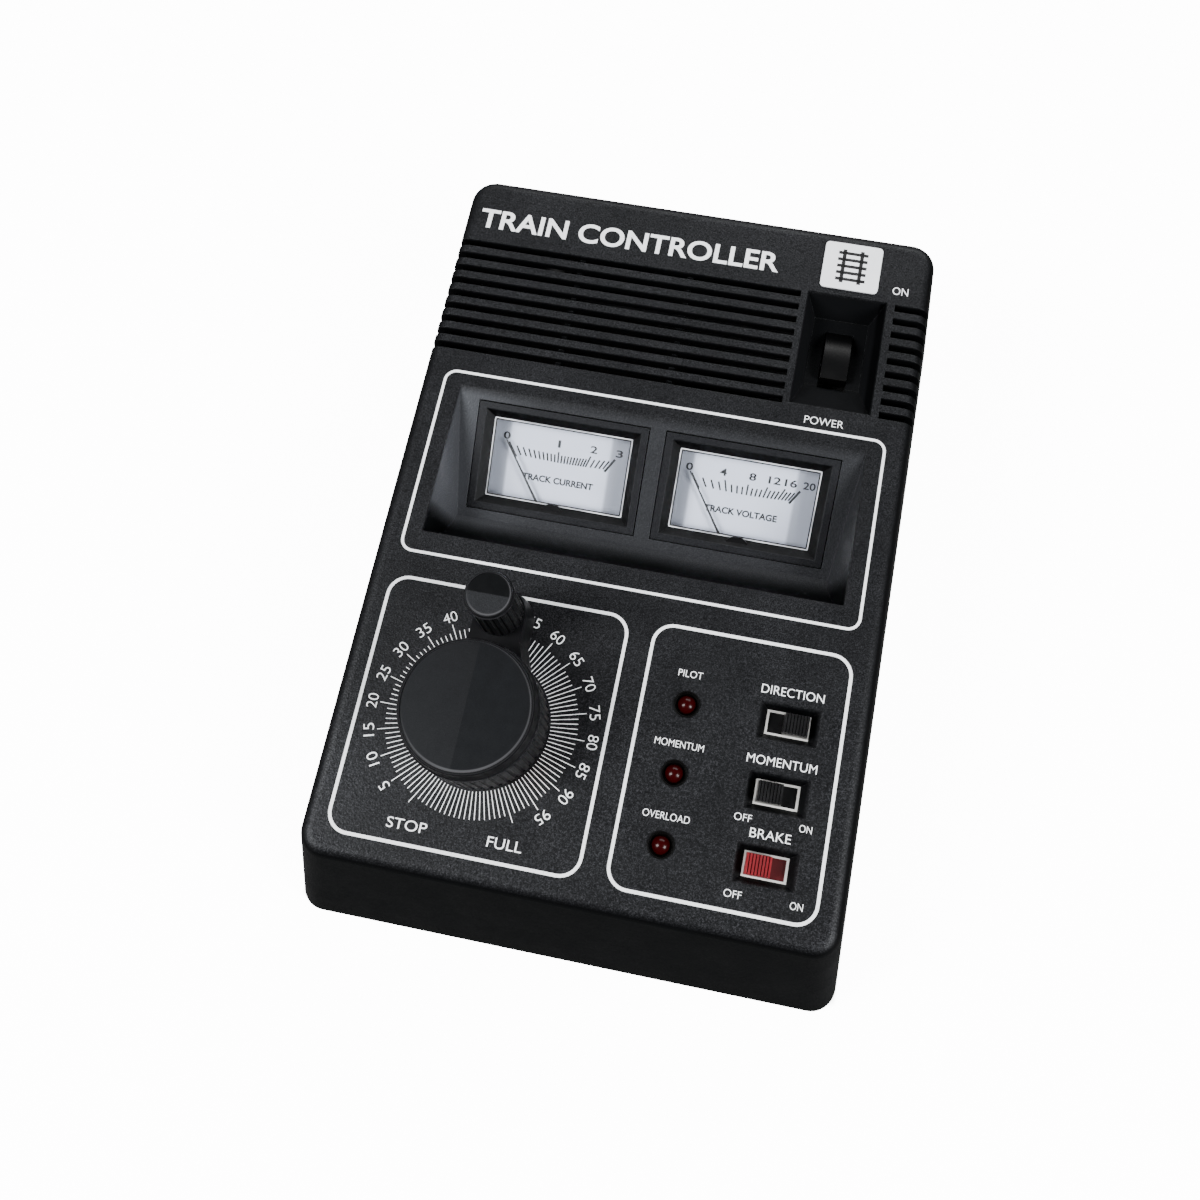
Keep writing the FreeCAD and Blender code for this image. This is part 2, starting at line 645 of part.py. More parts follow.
def make_meter_bezel(name, frame):
    """The black frame: a flat rim, then a slope down to the window."""
    outer = (METER_OPENING[0] / 2 - METER_GAP, METER_OPENING[1] / 2 - METER_GAP)
    rim = (outer[0] - RIM_WIDTH, outer[1] - RIM_WIDTH + 0.2)
    glass = (WINDOW_SIZE[0] / 2, WINDOW_SIZE[1] / 2)
    bezel = frustum(outer, outer, (-WINDOW_BACK, 0.2))
    bezel = bezel.cut(frustum(glass, rim, (-WINDOW_DEPTH, 0.2)))
    bezel = bezel.cut(frustum(glass, glass, (-WINDOW_BACK - 1, 0)))
    bump = cylinder(HUB_COVER_RADIUS, (-WINDOW_BACK, -1.0), 0, -glass[1] - HUB_COVER_DROP)
    inside_rim = frustum(outer, outer, (-WINDOW_BACK, 0.2))
    save(name + "_bezel", bezel.fuse(bump.common(inside_rim)), frame)


def make_meter_window(name, frame):
    """The clear window, notched round the hub cover."""
    half = (WINDOW_SIZE[0] / 2 - CAP_GAP, WINDOW_SIZE[1] / 2 - CAP_GAP)
    plate = frustum(half, half, (-WINDOW_BACK, -WINDOW_DEPTH))
    bump = cylinder(HUB_COVER_RADIUS + CAP_GAP, (-9, 0), 0, -WINDOW_SIZE[1] / 2 - HUB_COVER_DROP)
    save(name + "_window", plate.cut(bump), frame)


def make_meter_case(name, frame):
    """The movement's black box, open towards the window."""
    top = -WINDOW_BACK - CAP_GAP
    inside = CASE_HALF_WIDTH - CASE_WALL
    outer = box((-CASE_HALF_WIDTH, CASE_HALF_WIDTH), (-CASE_LOW, CASE_TOP), (-CASE_BACK, top))
    room = box((-inside, inside), (-CASE_LOW + CASE_WALL, CASE_TOP - 1.2), (-CASE_BACK + CASE_WALL, 0))
    lid = box((-inside - 0.6, inside + 0.6), (-CASE_LOW + 0.6, -16.4), (top - 0.8, top))
    save(name + "_case", outer.cut(room).fuse(lid), frame)


def make_meter_scale(name, frame):
    """The white scale plate, cut away round the movement."""
    half = CASE_HALF_WIDTH - CASE_WALL - 0.1
    plate = box((-half, half), (-16.2, CASE_TOP - 1.3), (-SCALE_DEPTH - SCALE_THICKNESS, -SCALE_DEPTH))
    save(name + "_scale", plate.cut(cylinder(5.2, (-9, 0), 0, -PIVOT_DROP)), frame)


def make_meter_movement(name, frame):
    """Magnet block with the pivot pin that carries the needle."""
    magnet_top = -SCALE_DEPTH - 1.6
    magnet = box((-9, 9), (-PIVOT_DROP - 3.4, -PIVOT_DROP + 12), (-CASE_BACK + 1.5, magnet_top))
    pin = cylinder(PIVOT_RADIUS, (magnet_top - 0.4, -NEEDLE_DEPTH + 1.0), 0, -PIVOT_DROP)
    save(name + "_movement", magnet.fuse(pin), frame)


def make_meter_needle(name, frame):
    """The needle, its hub and its balance tail, at rest on zero."""
    z = (-NEEDLE_DEPTH - NEEDLE_THICKNESS, -NEEDLE_DEPTH)
    low = [Vector(-NEEDLE_ROOT, 0, z[0]), Vector(NEEDLE_ROOT, 0, z[0]),
           Vector(NEEDLE_TIP, NEEDLE_LENGTH, z[0]), Vector(-NEEDLE_TIP, NEEDLE_LENGTH, z[0])]
    high = [point + Vector(0, 0, NEEDLE_THICKNESS) for point in low]
    hub = cylinder(1.7, (-NEEDLE_DEPTH - 0.9, -NEEDLE_DEPTH + 0.3))
    tail = box((-1.2, 1.2), (-3.2, 0), (-NEEDLE_DEPTH - 0.7, -NEEDLE_DEPTH + 0.1))
    shape = hexahedron(low, high).fuse([hub, tail])
    shape = shape.cut(cylinder(PIVOT_RADIUS + RUNNING_FIT, (-CASE_BACK, ABOVE)))
    pivot = Placement(Vector(0, -PIVOT_DROP, 0), Rotation(Vector(0, 0, 1), NEEDLE_REST))
    save(name + "_needle", shape, frame.multiply(pivot))


def make_meters():
    """Both meters, piece by piece."""
    for name, side in (("current_meter", -1), ("voltage_meter", 1)):
        frame = meter_frame(side)
        for make in (make_meter_bezel, make_meter_window, make_meter_case, make_meter_scale,
                     make_meter_movement, make_meter_needle):
            make(name, frame)


# ---------------------------------------------------------------- lamps and slide switches
DOME_BASE = -1.4             # where the lens turns into its dome
COLLAR_BOTTOM = -4.5


def make_lamps():
    """Three lamps: each a red lens in a black collar."""
    base = -BOARD_DEPTH + 0.1
    inside = LAMP_RADIUS + RUNNING_FIT
    for name, v in LAMP_V.items():
        frame = PANEL.multiply(Placement(Vector(LAMP_X, v, 0), Rotation()))
        lens = cylinder(LAMP_RADIUS, (base, DOME_BASE))
        dome = Part.makeSphere(LAMP_RADIUS, Vector(0, 0, DOME_BASE))
        flange = cylinder(LAMP_RADIUS + 0.4, (base, base + 1))
        save(name + "_lamp", lens.fuse([dome, flange]), frame)
        collar = turned([(inside, COLLAR_BOTTOM), (3.0, COLLAR_BOTTOM), (3.0, 0), (3.6, 0), (3.5, 0.35),
                         (3.25, 0.4), (inside, -1.2)])
        save(name + "_lamp_collar", collar, frame)


PLATE_TOP = -WALL - 0.05
PLATE_BOTTOM = PLATE_TOP - 0.6
SWITCH_WINDOW = (10.5, 5.5)
PLATE_HALF = (10.6, 4.6)
SWITCH_HALF = (10.4, 4.4)
SWITCH_ROOM = (9.8, 3.5)
CARRIAGE_HALF = (7.4, 3.2)
NECK = (6.0, 4.9)            # the part of a slider that passes through its window
GRIP = (6.8, 5.7)
GRIP_BOTTOM = PLATE_TOP + 0.25
GRIP_TOP = 1.5
GRIP_RIBS = 8


def switch_grip():
    """The ribbed grip, overhanging the neck that carries it through the window."""
    half = (GRIP[0] / 2, GRIP[1] / 2)
    neck = slot_box(0, 0, (NECK[0] / 2, NECK[1] / 2), (PLATE_BOTTOM - 0.3, GRIP_BOTTOM + 0.1))
    grip = frustum(half, (half[0] - 0.2, half[1] - 0.2), (GRIP_BOTTOM, GRIP_TOP)).fuse(neck)
    for rib in range(1, GRIP_RIBS):
        x = -half[0] + rib * GRIP[0] / GRIP_RIBS
        grip = grip.cut(slot_box(x, 0, (0.17, GRIP[1]), (GRIP_TOP - 0.55, GRIP_TOP + 1)))
    return grip


def make_slide_switches():
    """Three slide switches: plated frame, body and slider."""
    window_half = (SWITCH_WINDOW[0] / 2, SWITCH_WINDOW[1] / 2)
    for name, v in SWITCH_V.items():
        frame = PANEL.multiply(Placement(Vector(SWITCH_X, v, 0), Rotation()))
        window = slot_box(0, 0, window_half, (-ABOVE, 0))
        plate = slot_box(0, 0, PLATE_HALF, (PLATE_BOTTOM, PLATE_TOP)).cut(window)
        save(name + "_switch_frame", plate, frame)
        body = slot_box(0, 0, SWITCH_HALF, (-BOARD_DEPTH + 0.05, PLATE_BOTTOM))
        room = slot_box(0, 0, SWITCH_ROOM, (PLATE_BOTTOM - 1.6, 0))
        save(name + "_switch_body", body.cut(room), frame)
        carriage = slot_box(0, 0, CARRIAGE_HALF, (PLATE_BOTTOM - 1.3, PLATE_BOTTOM - 0.2))
        offset = Placement(Vector(SWITCH_SIDE[name] * SWITCH_TRAVEL / 2, 0, 0), Rotation())
        save(name + "_slider", carriage.fuse(switch_grip()), frame.multiply(offset))


# ---------------------------------------------------------------- power switch
ROCKER_X = sum(POCKET_X) / 2
PIN_DEPTH = POCKET_DEPTH + 3.6
POWER = PANEL.multiply(Placement(Vector(ROCKER_X, ROCKER_V, -PIN_DEPTH), Rotation()))
ROCKER_CREST = 7.4           # above the pin
ROCKER_FOOT = 0.8
ROCKER_PIN_RADIUS = 1.0
SWITCH_BLOCK = (7.0, 12.0)   # half sizes of the switch body
SWITCH_FLOOR = -14.0
SPADE_Y = 6.0


def make_power_rocker():
    """The arched paddle on its cross pin, tipped towards the back."""
    half_x = ROCKER_SIZE[0] / 2
    half_y = ROCKER_SIZE[1] / 2 - 0.7
    foot = half_y - 1.2
    shoulder = ROCKER_CREST - ROCKER_ARC + math.sqrt(ROCKER_ARC ** 2 - half_y ** 2)
    edges = [line((-foot, ROCKER_FOOT), (foot, ROCKER_FOOT)),
             line((foot, ROCKER_FOOT), (half_y, shoulder)),
             arc((half_y, shoulder), (0, ROCKER_CREST), (-half_y, shoulder)),
             line((-half_y, shoulder), (-foot, ROCKER_FOOT))]
    boss = across(ROCKER_PIN_RADIUS + 1.6, (-half_x, half_x), 0, 0)
    bore = across(ROCKER_PIN_RADIUS + RUNNING_FIT, (-FAR, FAR), 0, 0)
    paddle = slab(edges, (-half_x, half_x)).fuse(boss).cut(bore)
    tipped = Placement(Vector(), Rotation(EAST, -ROCKER_TILT))
    save("power_rocker", paddle, POWER.multiply(tipped))


def make_power_switch():
    """The switch body under the recess with its two tags, and the rocker's pin."""
    top = PIN_DEPTH - POCKET_DEPTH - THIN_WALL - 0.05
    body = slot_box(0, 0, SWITCH_BLOCK, (SWITCH_FLOOR, top))
    room = slot_box(0, 0, (ROCKER_SIZE[0] / 2 + SLIP, SWITCH_BLOCK[1] - 1.6), (-5, top + 1))
    pin = across(ROCKER_PIN_RADIUS, (1.2 - SWITCH_BLOCK[0], SWITCH_BLOCK[0] - 1.2), 0, 0)
    tags = [slot_box(0, y, (2.4, 0.4), (SWITCH_FLOOR - 6, SWITCH_FLOOR + 1)) for y in (-SPADE_Y, SPADE_Y)]
    save("power_switch_body", body.cut(room).cut(pin).fuse(tags), POWER)
    save("power_rocker_pin", pin, POWER)


# ---------------------------------------------------------------- electronics
BOARD_X = (9.0, 64.0)
BOARD_V = (-33.0, 36.0)
BOARD_THICKNESS = 1.6
UNDER_BOARD = -BOARD_DEPTH - BOARD_THICKNESS - 0.05
CAPACITOR_RADIUS = 5.0
SINK_X = (16.0, 44.0)
SINK_V = (8.0, 10.0)
SINK_DROP = 15.0
FIN_COUNT = 5
FIN_WIDTH = 1.4
FIN_REACH = 6.0


def make_board():
    """The circuit board under the lamps and slide switches."""
    top = -BOARD_DEPTH
    board = box(BOARD_X, BOARD_V, (top - BOARD_THICKNESS, top))
    inset = 3.5
    corners = [(x, v) for x in (BOARD_X[0] + inset, BOARD_X[1] - inset)
               for v in (BOARD_V[0] + inset, BOARD_V[1] - inset)]
    holes = [cylinder(1.6, (top - ABOVE, top + 1), x, v) for x, v in corners]
    save("circuit_board", board.cut(holes), PANEL)


def make_board_parts():
    """The larger parts on the board's underside."""
    capacitor = across(CAPACITOR_RADIUS, (16, 38), -24, UNDER_BOARD - CAPACITOR_RADIUS - 0.05)
    save("smoothing_capacitor", capacitor, PANEL)
    bridge = box((44, 58), (-28, -22), (UNDER_BOARD - 8, UNDER_BOARD))
    save("bridge_rectifier", bridge, PANEL)
    depth = (UNDER_BOARD - SINK_DROP, UNDER_BOARD)
    sink = box(SINK_X, SINK_V, depth)
    pitch = (SINK_X[1] - SINK_X[0] - FIN_WIDTH) / (FIN_COUNT - 1)
    fins = []
    for fin in range(FIN_COUNT):
        x = SINK_X[0] + fin * pitch
        fins.append(box((x, x + FIN_WIDTH), (SINK_V[1], SINK_V[1] + FIN_REACH), depth))
    save("heat_sink", sink.fuse(fins), PANEL)
    transistor = box((25, 35), (SINK_V[0] - 4.6, SINK_V[0] - 0.05), (UNDER_BOARD - 14, UNDER_BOARD - 1))
    save("power_transistor", transistor, PANEL)


CORE = (58.0, 22.0, 34.0)    # laminated core: width, depth, height
CORE_PLACE = Vector(-28.0, 62.0, POST_BOTTOM + 2.0)
YOKE = 8.0
CORE_WINDOW_X = 14.5
CORE_WINDOW_HALF = 5.0
COIL_HALF = (19.3, 20.0)
COIL_GAP = 0.2
STRAP = 1.4                  # thickness of the strap
STRAP_HALF_DEPTH = 7.0
STRAP_FOOT = -1.95
EAR_LENGTH = 9.0
EAR_HOLE_AT = 5.0
EAR_BORE = 1.7


def make_transformer_core():
    """The stack of laminations, with a window each side of the middle limb."""
    width, depth, height = CORE
    core = slot_box(0, 0, (width / 2, depth / 2), (0, height))
    windows = [slot_box(x, 0, (CORE_WINDOW_HALF, FAR), (YOKE, height - YOKE))
               for x in (-CORE_WINDOW_X, CORE_WINDOW_X)]
    save("transformer_core", core.cut(windows), Placement(CORE_PLACE, Rotation()))


def make_transformer_windings():
    """The taped coil round the middle limb, bulging out in front and behind."""
    depth, height = CORE[1:]
    coil = slot_box(0, 0, COIL_HALF, (YOKE + COIL_GAP, height - YOKE - COIL_GAP))
    coil = softened(coil, 4.0, is_upright)
    limb_half = CORE_WINDOW_X - CORE_WINDOW_HALF + COIL_GAP
    limb = slot_box(0, 0, (limb_half, depth / 2 + COIL_GAP), (0, height))
    save("transformer_windings", coil.cut(limb), Placement(CORE_PLACE, Rotation()))


def make_transformer_strap():
    """The strap over the core, with an ear at each foot."""
    width, _, height = CORE
    outside = width / 2 + STRAP
    gap = 0.1
    strap = slot_box(0, 0, (outside, STRAP_HALF_DEPTH), (STRAP_FOOT, height + STRAP))
    strap = strap.cut(slot_box(0, 0, (width / 2 + gap, FAR), (STRAP_FOOT - 1, height + gap)))
    ears = []
    for side in (-1, 1):
        middle = side * (width / 2 + EAR_LENGTH / 2)
        ear = slot_box(middle, 0, (EAR_LENGTH / 2, STRAP_HALF_DEPTH), (STRAP_FOOT, STRAP_FOOT + STRAP))
        ears.append(ear.cut(cylinder(EAR_BORE, (-ABOVE, ABOVE), side * (width / 2 + EAR_HOLE_AT))))
    save("transformer_strap", strap.fuse(ears), Placement(CORE_PLACE, Rotation()))


def make_transformer_screws():
    """One screw through each ear."""
    screws = []
    for side in (-1, 1):
        x = side * (CORE[0] / 2 + EAR_HOLE_AT)
        shank = cylinder(EAR_BORE - 0.2, (STRAP_FOOT, 1), x)
        screws.append(shank.fuse(cylinder(2.8, (STRAP_FOOT + STRAP + 0.05, STRAP), x)))
    save("transformer_screws", Part.makeCompound(screws), Placement(CORE_PLACE, Rotation()))


# ---------------------------------------------------------------- rear panel and badge
TERMINALS = 4
TERMINAL_DEPTH = 11.0
TERMINAL_FLANGE = (3.0, 2.0)
BAY_DEPTH = 4.4
BAY_HALF_WIDTH = 4.6
SCREW_HEAD = 3.3
GLAND_FLANGE = 7.6
GLAND_BACK = -8.0
GLAND_FACE = 1.5


def make_terminal_block():
    """The output terminals: a bay and a screw for each wire."""
    half = (TERMINAL_SIZE[0] / 2, TERMINAL_SIZE[1] / 2)
    frame = REAR.multiply(Placement(Vector(TERMINAL_X, 0, 0), Rotation()))
    flange_half = (half[0] + TERMINAL_FLANGE[0], half[1] + TERMINAL_FLANGE[1])
    block = slot_box(0, 0, half, (-TERMINAL_DEPTH, -0.4))
    block = block.fuse(slot_box(0, 0, flange_half, (-WALL - 2.5, -WALL - 0.05)))
    pitch = TERMINAL_SIZE[0] / TERMINALS
    places = [(n - (TERMINALS - 1) / 2) * pitch for n in range(TERMINALS)]
    bays = [slot_box(x, 0, (BAY_HALF_WIDTH, half[1] - 1), (-BAY_DEPTH, 0)) for x in places]
    bores = [cylinder(1.6, (-10, 0), x) for x in places]
    save("terminal_block", block.cut(bays + bores), frame)
    screws = []
    for x in places:
        head = cylinder(SCREW_HEAD, (0.1 - BAY_DEPTH, -2.4), x)
        head = head.cut(slot_box(x, 0, (4, 0.4), (-3.2, 0)))
        screws.append(head.fuse(cylinder(1.5, (-9.5, -4), x)))
    save("terminal_screws", Part.makeCompound(screws), frame)


def make_cord_gland():
    """The rubber gland that the mains cord would pass through."""
    gland = turned([(GLAND_BORE, GLAND_BACK), (GLAND_BODY, GLAND_BACK), (GLAND_BODY, 0), (GLAND_FLANGE, 0),
                    (GLAND_FLANGE, 0.9), (GLAND_FLANGE - 0.8, GLAND_FACE), (GLAND_BORE, GLAND_FACE)])
    save("cord_gland", gland, REAR.multiply(Placement(Vector(GLAND_X, 0, 0), Rotation())))


BADGE_SIZE = (17.1, 15.5)
BADGE_PLACE = Vector(46.85, 152.75, 0)


def make_badge():
    """A plain badge plate on the top's back edge."""
    badge = rounded_plate(BADGE_SIZE, 1.3, (0.02, 0.4))
    save("badge_plate", badge, PANEL.multiply(Placement(BADGE_PLACE, Rotation())))


os.makedirs("parts", exist_ok=True)
make_top_housing()
make_base_plate()
make_feet()
make_case_screws()
make_throttle_knob()
make_throttle_cap()
make_throttle_shaft()
make_potentiometer()
make_finger_pin()
make_finger_knob()
make_finger_cap()
make_meters()
make_lamps()
make_slide_switches()
make_power_rocker()
make_power_switch()
make_board()
make_board_parts()
make_transformer_core()
make_transformer_windings()
make_transformer_strap()
make_transformer_screws()
make_terminal_block()
make_cord_gland()
make_badge()
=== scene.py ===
import json
import math

import bmesh
import bpy
from mathutils import Matrix, Vector


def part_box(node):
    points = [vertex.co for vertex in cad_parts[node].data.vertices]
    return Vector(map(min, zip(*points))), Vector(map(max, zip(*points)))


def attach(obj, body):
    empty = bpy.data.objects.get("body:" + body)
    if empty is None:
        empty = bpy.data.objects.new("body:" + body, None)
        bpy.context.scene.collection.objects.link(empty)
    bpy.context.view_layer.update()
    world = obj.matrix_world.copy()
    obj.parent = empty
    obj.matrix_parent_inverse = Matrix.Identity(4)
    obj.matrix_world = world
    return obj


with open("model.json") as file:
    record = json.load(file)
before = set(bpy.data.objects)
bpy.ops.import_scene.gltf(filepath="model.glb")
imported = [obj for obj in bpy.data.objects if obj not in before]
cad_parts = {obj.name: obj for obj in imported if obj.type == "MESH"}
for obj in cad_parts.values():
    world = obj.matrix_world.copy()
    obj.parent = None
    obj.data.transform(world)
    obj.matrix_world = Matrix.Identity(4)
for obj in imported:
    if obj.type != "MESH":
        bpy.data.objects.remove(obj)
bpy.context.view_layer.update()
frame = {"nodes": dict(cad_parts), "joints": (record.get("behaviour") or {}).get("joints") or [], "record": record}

# Looks of the train set controller.
# Lengths are in millimetres, except in points of the part's own frame, which are in metres.
# Panel frame: the sloping top, x across it, v up the slope from the throttle's axis, z above it.
# Meter frame: a meter's own sloping face, from the middle of its window, likewise.

MM = 0.001
SIDEWAYS = Vector((1, 0, 0))
JOINTS = {joint["name"]: joint for joint in frame["joints"]}
SLOT_OF = {part["node"]: part["material_slot"] for part in frame["record"]["subparts"]}
HOUSING = "housing"


# ---------------------------------------------------------------- frames of reference
def facing(origin, normal):
    """A frame whose z is the normal and whose x is the part's x."""
    z = Vector(normal).normalized()
    matrix = Matrix((SIDEWAYS, z.cross(SIDEWAYS), z)).transposed().to_4x4()
    matrix.translation = origin
    return matrix


def in_mm(matrix):
    """The same frame, taking millimetres."""
    return matrix @ Matrix.Scale(MM, 4)


THROTTLE_AT = Vector(JOINTS["throttle_turn"]["pos_m"])
PANEL_NORMAL = Vector(JOINTS["throttle_turn"]["axis"])
PANEL = in_mm(facing(Vector((0, THROTTLE_AT.y, THROTTLE_AT.z)), PANEL_NORMAL))
UPHILL = (PANEL.to_3x3() @ Vector((0, 1, 0))).normalized()
DIAL_X = THROTTLE_AT.x / MM

KNOB_SHOULDER = 19.0         # where the throttle's crown starts, above the panel
SUNK_DEPTH = 0.6             # how far below the panel the case counts as sunk
METERS_V = (57, 101)         # the stretch of the panel that holds the meters
METERS_HALF = 66
POCKET_V = (102, 144)        # the power rocker's recess
POCKET_X = (35, 57)

PIVOT_DROP = 20.0            # a meter's pivot, below the middle of its window
NEEDLE_DEPTH = 5.2
SCALE_DEPTH = 7.0
WINDOW_DEPTH = 2.2
WINDOW_HALF = (20.7, 11.7)
FACE_CLEAR = (-16.4, 14.2)   # the part of a meter's face left bright between the grey shade painted under its cover's walls
METER_FACES = {}
for meter, joint in (("current_meter", "current_swing"), ("voltage_meter", "voltage_swing")):
    pivot = in_mm(facing(Vector(JOINTS[joint]["pos_m"]), -Vector(JOINTS[joint]["axis"])))
    METER_FACES[meter] = pivot @ Matrix.Translation((0, PIVOT_DROP, NEEDLE_DEPTH))


# ---------------------------------------------------------------- shader helper
MIX_COLOURS_IN = (6, 7)      # the Mix node gives its sockets for numbers and colours the same names
MIX_COLOUR_OUT = 2
BEVEL_SAMPLES = 4
EDGE_TURN = (0.995, 0.88)    # cosine between the rounded and the flat normal, off an edge and on it


class Shader:
    """One node material, with short ways to add what the finishes share."""

    def __init__(self, name):
        self.material = bpy.data.materials.new(name)
        self.material.use_nodes = True
        self.tree = self.material.node_tree
        self.surface = self.tree.nodes["Principled BSDF"]
        self.output = self.tree.nodes["Material Output"]
        self.place = self.add("ShaderNodeTexCoord").outputs["Object"]

    def add(self, kind, **settings):
        """A new node with some of its settings changed."""
        node = self.tree.nodes.new(kind)
        for key, value in settings.items():
            setattr(node, key, value)
        return node

    def join(self, source, target):
        self.tree.links.new(source, target)

    def put(self, **values):
        """Sets plain values on the surface shader's own sockets."""
        for key, value in values.items():
            self.surface.inputs[key.replace("_", " ")].default_value = value

    def stretched(self, factors):
        """Coordinates squeezed or stretched along the axes."""
        mapping = self.add("ShaderNodeMapping")
        mapping.inputs["Scale"].default_value = factors
        self.join(self.place, mapping.inputs["Vector"])
        return mapping.outputs["Vector"]

    def noise(self, size, detail=3.0, roughness=0.55, distortion=0.0, place=None):
        """Noise whose lumps are about size millimetres across."""
        node = self.add("ShaderNodeTexNoise")
        node.inputs["Scale"].default_value = 1 / (size * MM)
        node.inputs["Detail"].default_value = detail
        node.inputs["Roughness"].default_value = roughness
        node.inputs["Distortion"].default_value = distortion
        self.join(place or self.place, node.inputs["Vector"])
        return node.outputs["Fac"]

    def cells(self, size):
        """Soft cells about size millimetres across, as the distance from their middles."""
        node = self.add("ShaderNodeTexVoronoi", feature="SMOOTH_F1")
        node.inputs["Scale"].default_value = 1 / (size * MM)
        self.join(self.place, node.inputs["Vector"])
        return node.outputs["Distance"]

    def ranged(self, value, source, target):
        """The value moved from one range to another, clamped."""
        node = self.add("ShaderNodeMapRange")
        for key, number in zip(("From Min", "From Max", "To Min", "To Max"), (*source, *target)):
            node.inputs[key].default_value = number
        self.join(value, node.inputs["Value"])
        return node.outputs["Result"]

    def cloudy(self, size, target, detail=3.0, roughness=0.55):
        """Noise of a size, brought to a range."""
        return self.ranged(self.noise(size, detail, roughness), (0.3, 0.7), target)

    def calculate(self, operation, first, second):
        """The result of one operation on two sockets or plain numbers."""
        node = self.add("ShaderNodeMath", operation=operation)
        for socket, value in zip(node.inputs, (first, second)):
            if isinstance(value, (int, float)):
                socket.default_value = value
            else:
                self.join(value, socket)
        return node.outputs["Value"]

    def product(self, first, second):
        return self.calculate("MULTIPLY", first, second)

    def blend(self, factor, first, second):
        """A colour between two, each a socket or plain red, green and blue."""
        node = self.add("ShaderNodeMix", data_type="RGBA")
        self.join(factor, node.inputs["Factor"])
        for index, value in zip(MIX_COLOURS_IN, (first, second)):
            if isinstance(value, tuple):
                node.inputs[index].default_value = (*value, 1.0)
            else:
                self.join(value, node.inputs[index])
        return node.outputs[MIX_COLOUR_OUT]

    def bumps(self, *layers, rounding=0.0):
        """Stacks (height, depth in millimetres) layers of relief, on edges rounded by a radius."""
        normal = None
        if rounding:
            bevel = self.add("ShaderNodeBevel", samples=BEVEL_SAMPLES)
            bevel.inputs["Radius"].default_value = rounding * MM
            normal = bevel.outputs["Normal"]
        for height, depth in layers:
            bump = self.add("ShaderNodeBump")
            bump.inputs["Strength"].default_value = 1.0
            bump.inputs["Distance"].default_value = depth * MM
            self.join(height, bump.inputs["Height"])
            if normal:
                self.join(normal, bump.inputs["Normal"])
            normal = bump.outputs["Normal"]
        self.join(normal, self.surface.inputs["Normal"])

    def side_of(self, point, direction, soft=0.05):
        """0 on one side of a plane through a point and 1 on the other, over soft millimetres."""
        away = self.add("ShaderNodeVectorMath", operation="SUBTRACT")
        self.join(self.place, away.inputs[0])
        away.inputs[1].default_value = point
        along = self.add("ShaderNodeVectorMath", operation="DOT_PRODUCT")
        self.join(away.outputs["Vector"], along.inputs[0])
        along.inputs[1].default_value = direction
        return self.ranged(along.outputs["Value"], (-soft * MM, soft * MM), (0.0, 1.0))

    def between(self, start, end, direction, soft=0.3):
        """1 between two points taken along a direction, and 0 outside them."""
        return self.product(self.side_of(start, direction, soft), self.side_of(end, -direction, soft))

    def below(self, depth, soft):
        """1 deeper than so many millimetres under the panel."""
        return self.side_of(THROTTLE_AT - PANEL_NORMAL * depth * MM, -PANEL_NORMAL, soft)

    def patch(self, x, v, soft):
        """1 over a rectangle of the panel, at any depth, its ends in v softened."""
        along = self.between(*(PANEL @ Vector((0, end, 0)) for end in v), UPHILL, soft)
        across = self.between(*(PANEL @ Vector((end, 0, 0)) for end in x), SIDEWAYS)
        return self.product(along, across)

    def edges(self, width):
        """1 along sharp edges and 0 away from them."""
        bevel = self.add("ShaderNodeBevel", samples=BEVEL_SAMPLES)
        bevel.inputs["Radius"].default_value = width * MM
        turn = self.add("ShaderNodeVectorMath", operation="DOT_PRODUCT")
        self.join(bevel.outputs["Normal"], turn.inputs[0])
        self.join(self.add("ShaderNodeNewGeometry").outputs["Normal"], turn.inputs[1])
        return self.ranged(turn.outputs["Value"], EDGE_TURN, (0.0, 1.0))

    def colour(self, socket):
        self.join(socket, self.surface.inputs["Base Color"])

    def rough(self, socket):
        self.join(socket, self.surface.inputs["Roughness"])


# ---------------------------------------------------------------- finishes
COOL_SHEEN = (0.93, 0.96, 1.0, 1.0)


def grey(level):
    return (level, level, level)


def moulded(name, dark, light, roughness, grain, depth, wear=None, edge=0.25, mottle=14.0):
    """Moulded plastic: cloudy colour, fine grain, rounded edges that are rubbed paler."""
    shader = Shader(name)
    cloud = shader.ranged(shader.noise(mottle, 4.0), (0.35, 0.65), (0.0, 1.0))
    colour = shader.blend(cloud, dark, light)
    rough = shader.cloudy(mottle * 0.6, roughness, 5.0, 0.6)
    if wear:
        rubbed = shader.ranged(shader.noise(2.2, 4.0, 0.7), (0.42, 0.62), (0.35, 1.0))
        worn = shader.product(shader.edges(edge), rubbed)
        colour = shader.blend(worn, colour, wear)
        rough = shader.product(rough, shader.ranged(worn, (0.0, 1.0), (1.0, 0.72)))
    shader.colour(colour)
    shader.rough(rough)
    shader.bumps((shader.noise(grain, 3.0, 0.6), depth), (shader.noise(grain * 5, 2.0), depth * 0.8),
                 rounding=edge)
    return shader


CASE_VALLEY = (0.0010, 0.0011, 0.0013)   # the grain's low and high parts
CASE_PEBBLE = (0.0270, 0.0278, 0.0310)
CASE_SMOOTH_AND_SHADE = (0.0008, 0.0009, 0.0011)   # walls and slots: smooth, and darkened as painted shade
CASE_POCKET_SHADE = (0.0038, 0.0040, 0.0045)   # round the power rocker: lighter painted shade
CASE_PAINTED_SHEEN = (0.052, 0.055, 0.062)       # painted sheen beside the meters
CASE_WORN = (0.022, 0.023, 0.025)        # edges
LUMPS_FROM = Vector((0, 30, 0))          # in the panel frame: the grain is coarser in front of this
PALER_FROM = Vector((-0.050, 0, 0))      # the painted sheen is paler to the left of this
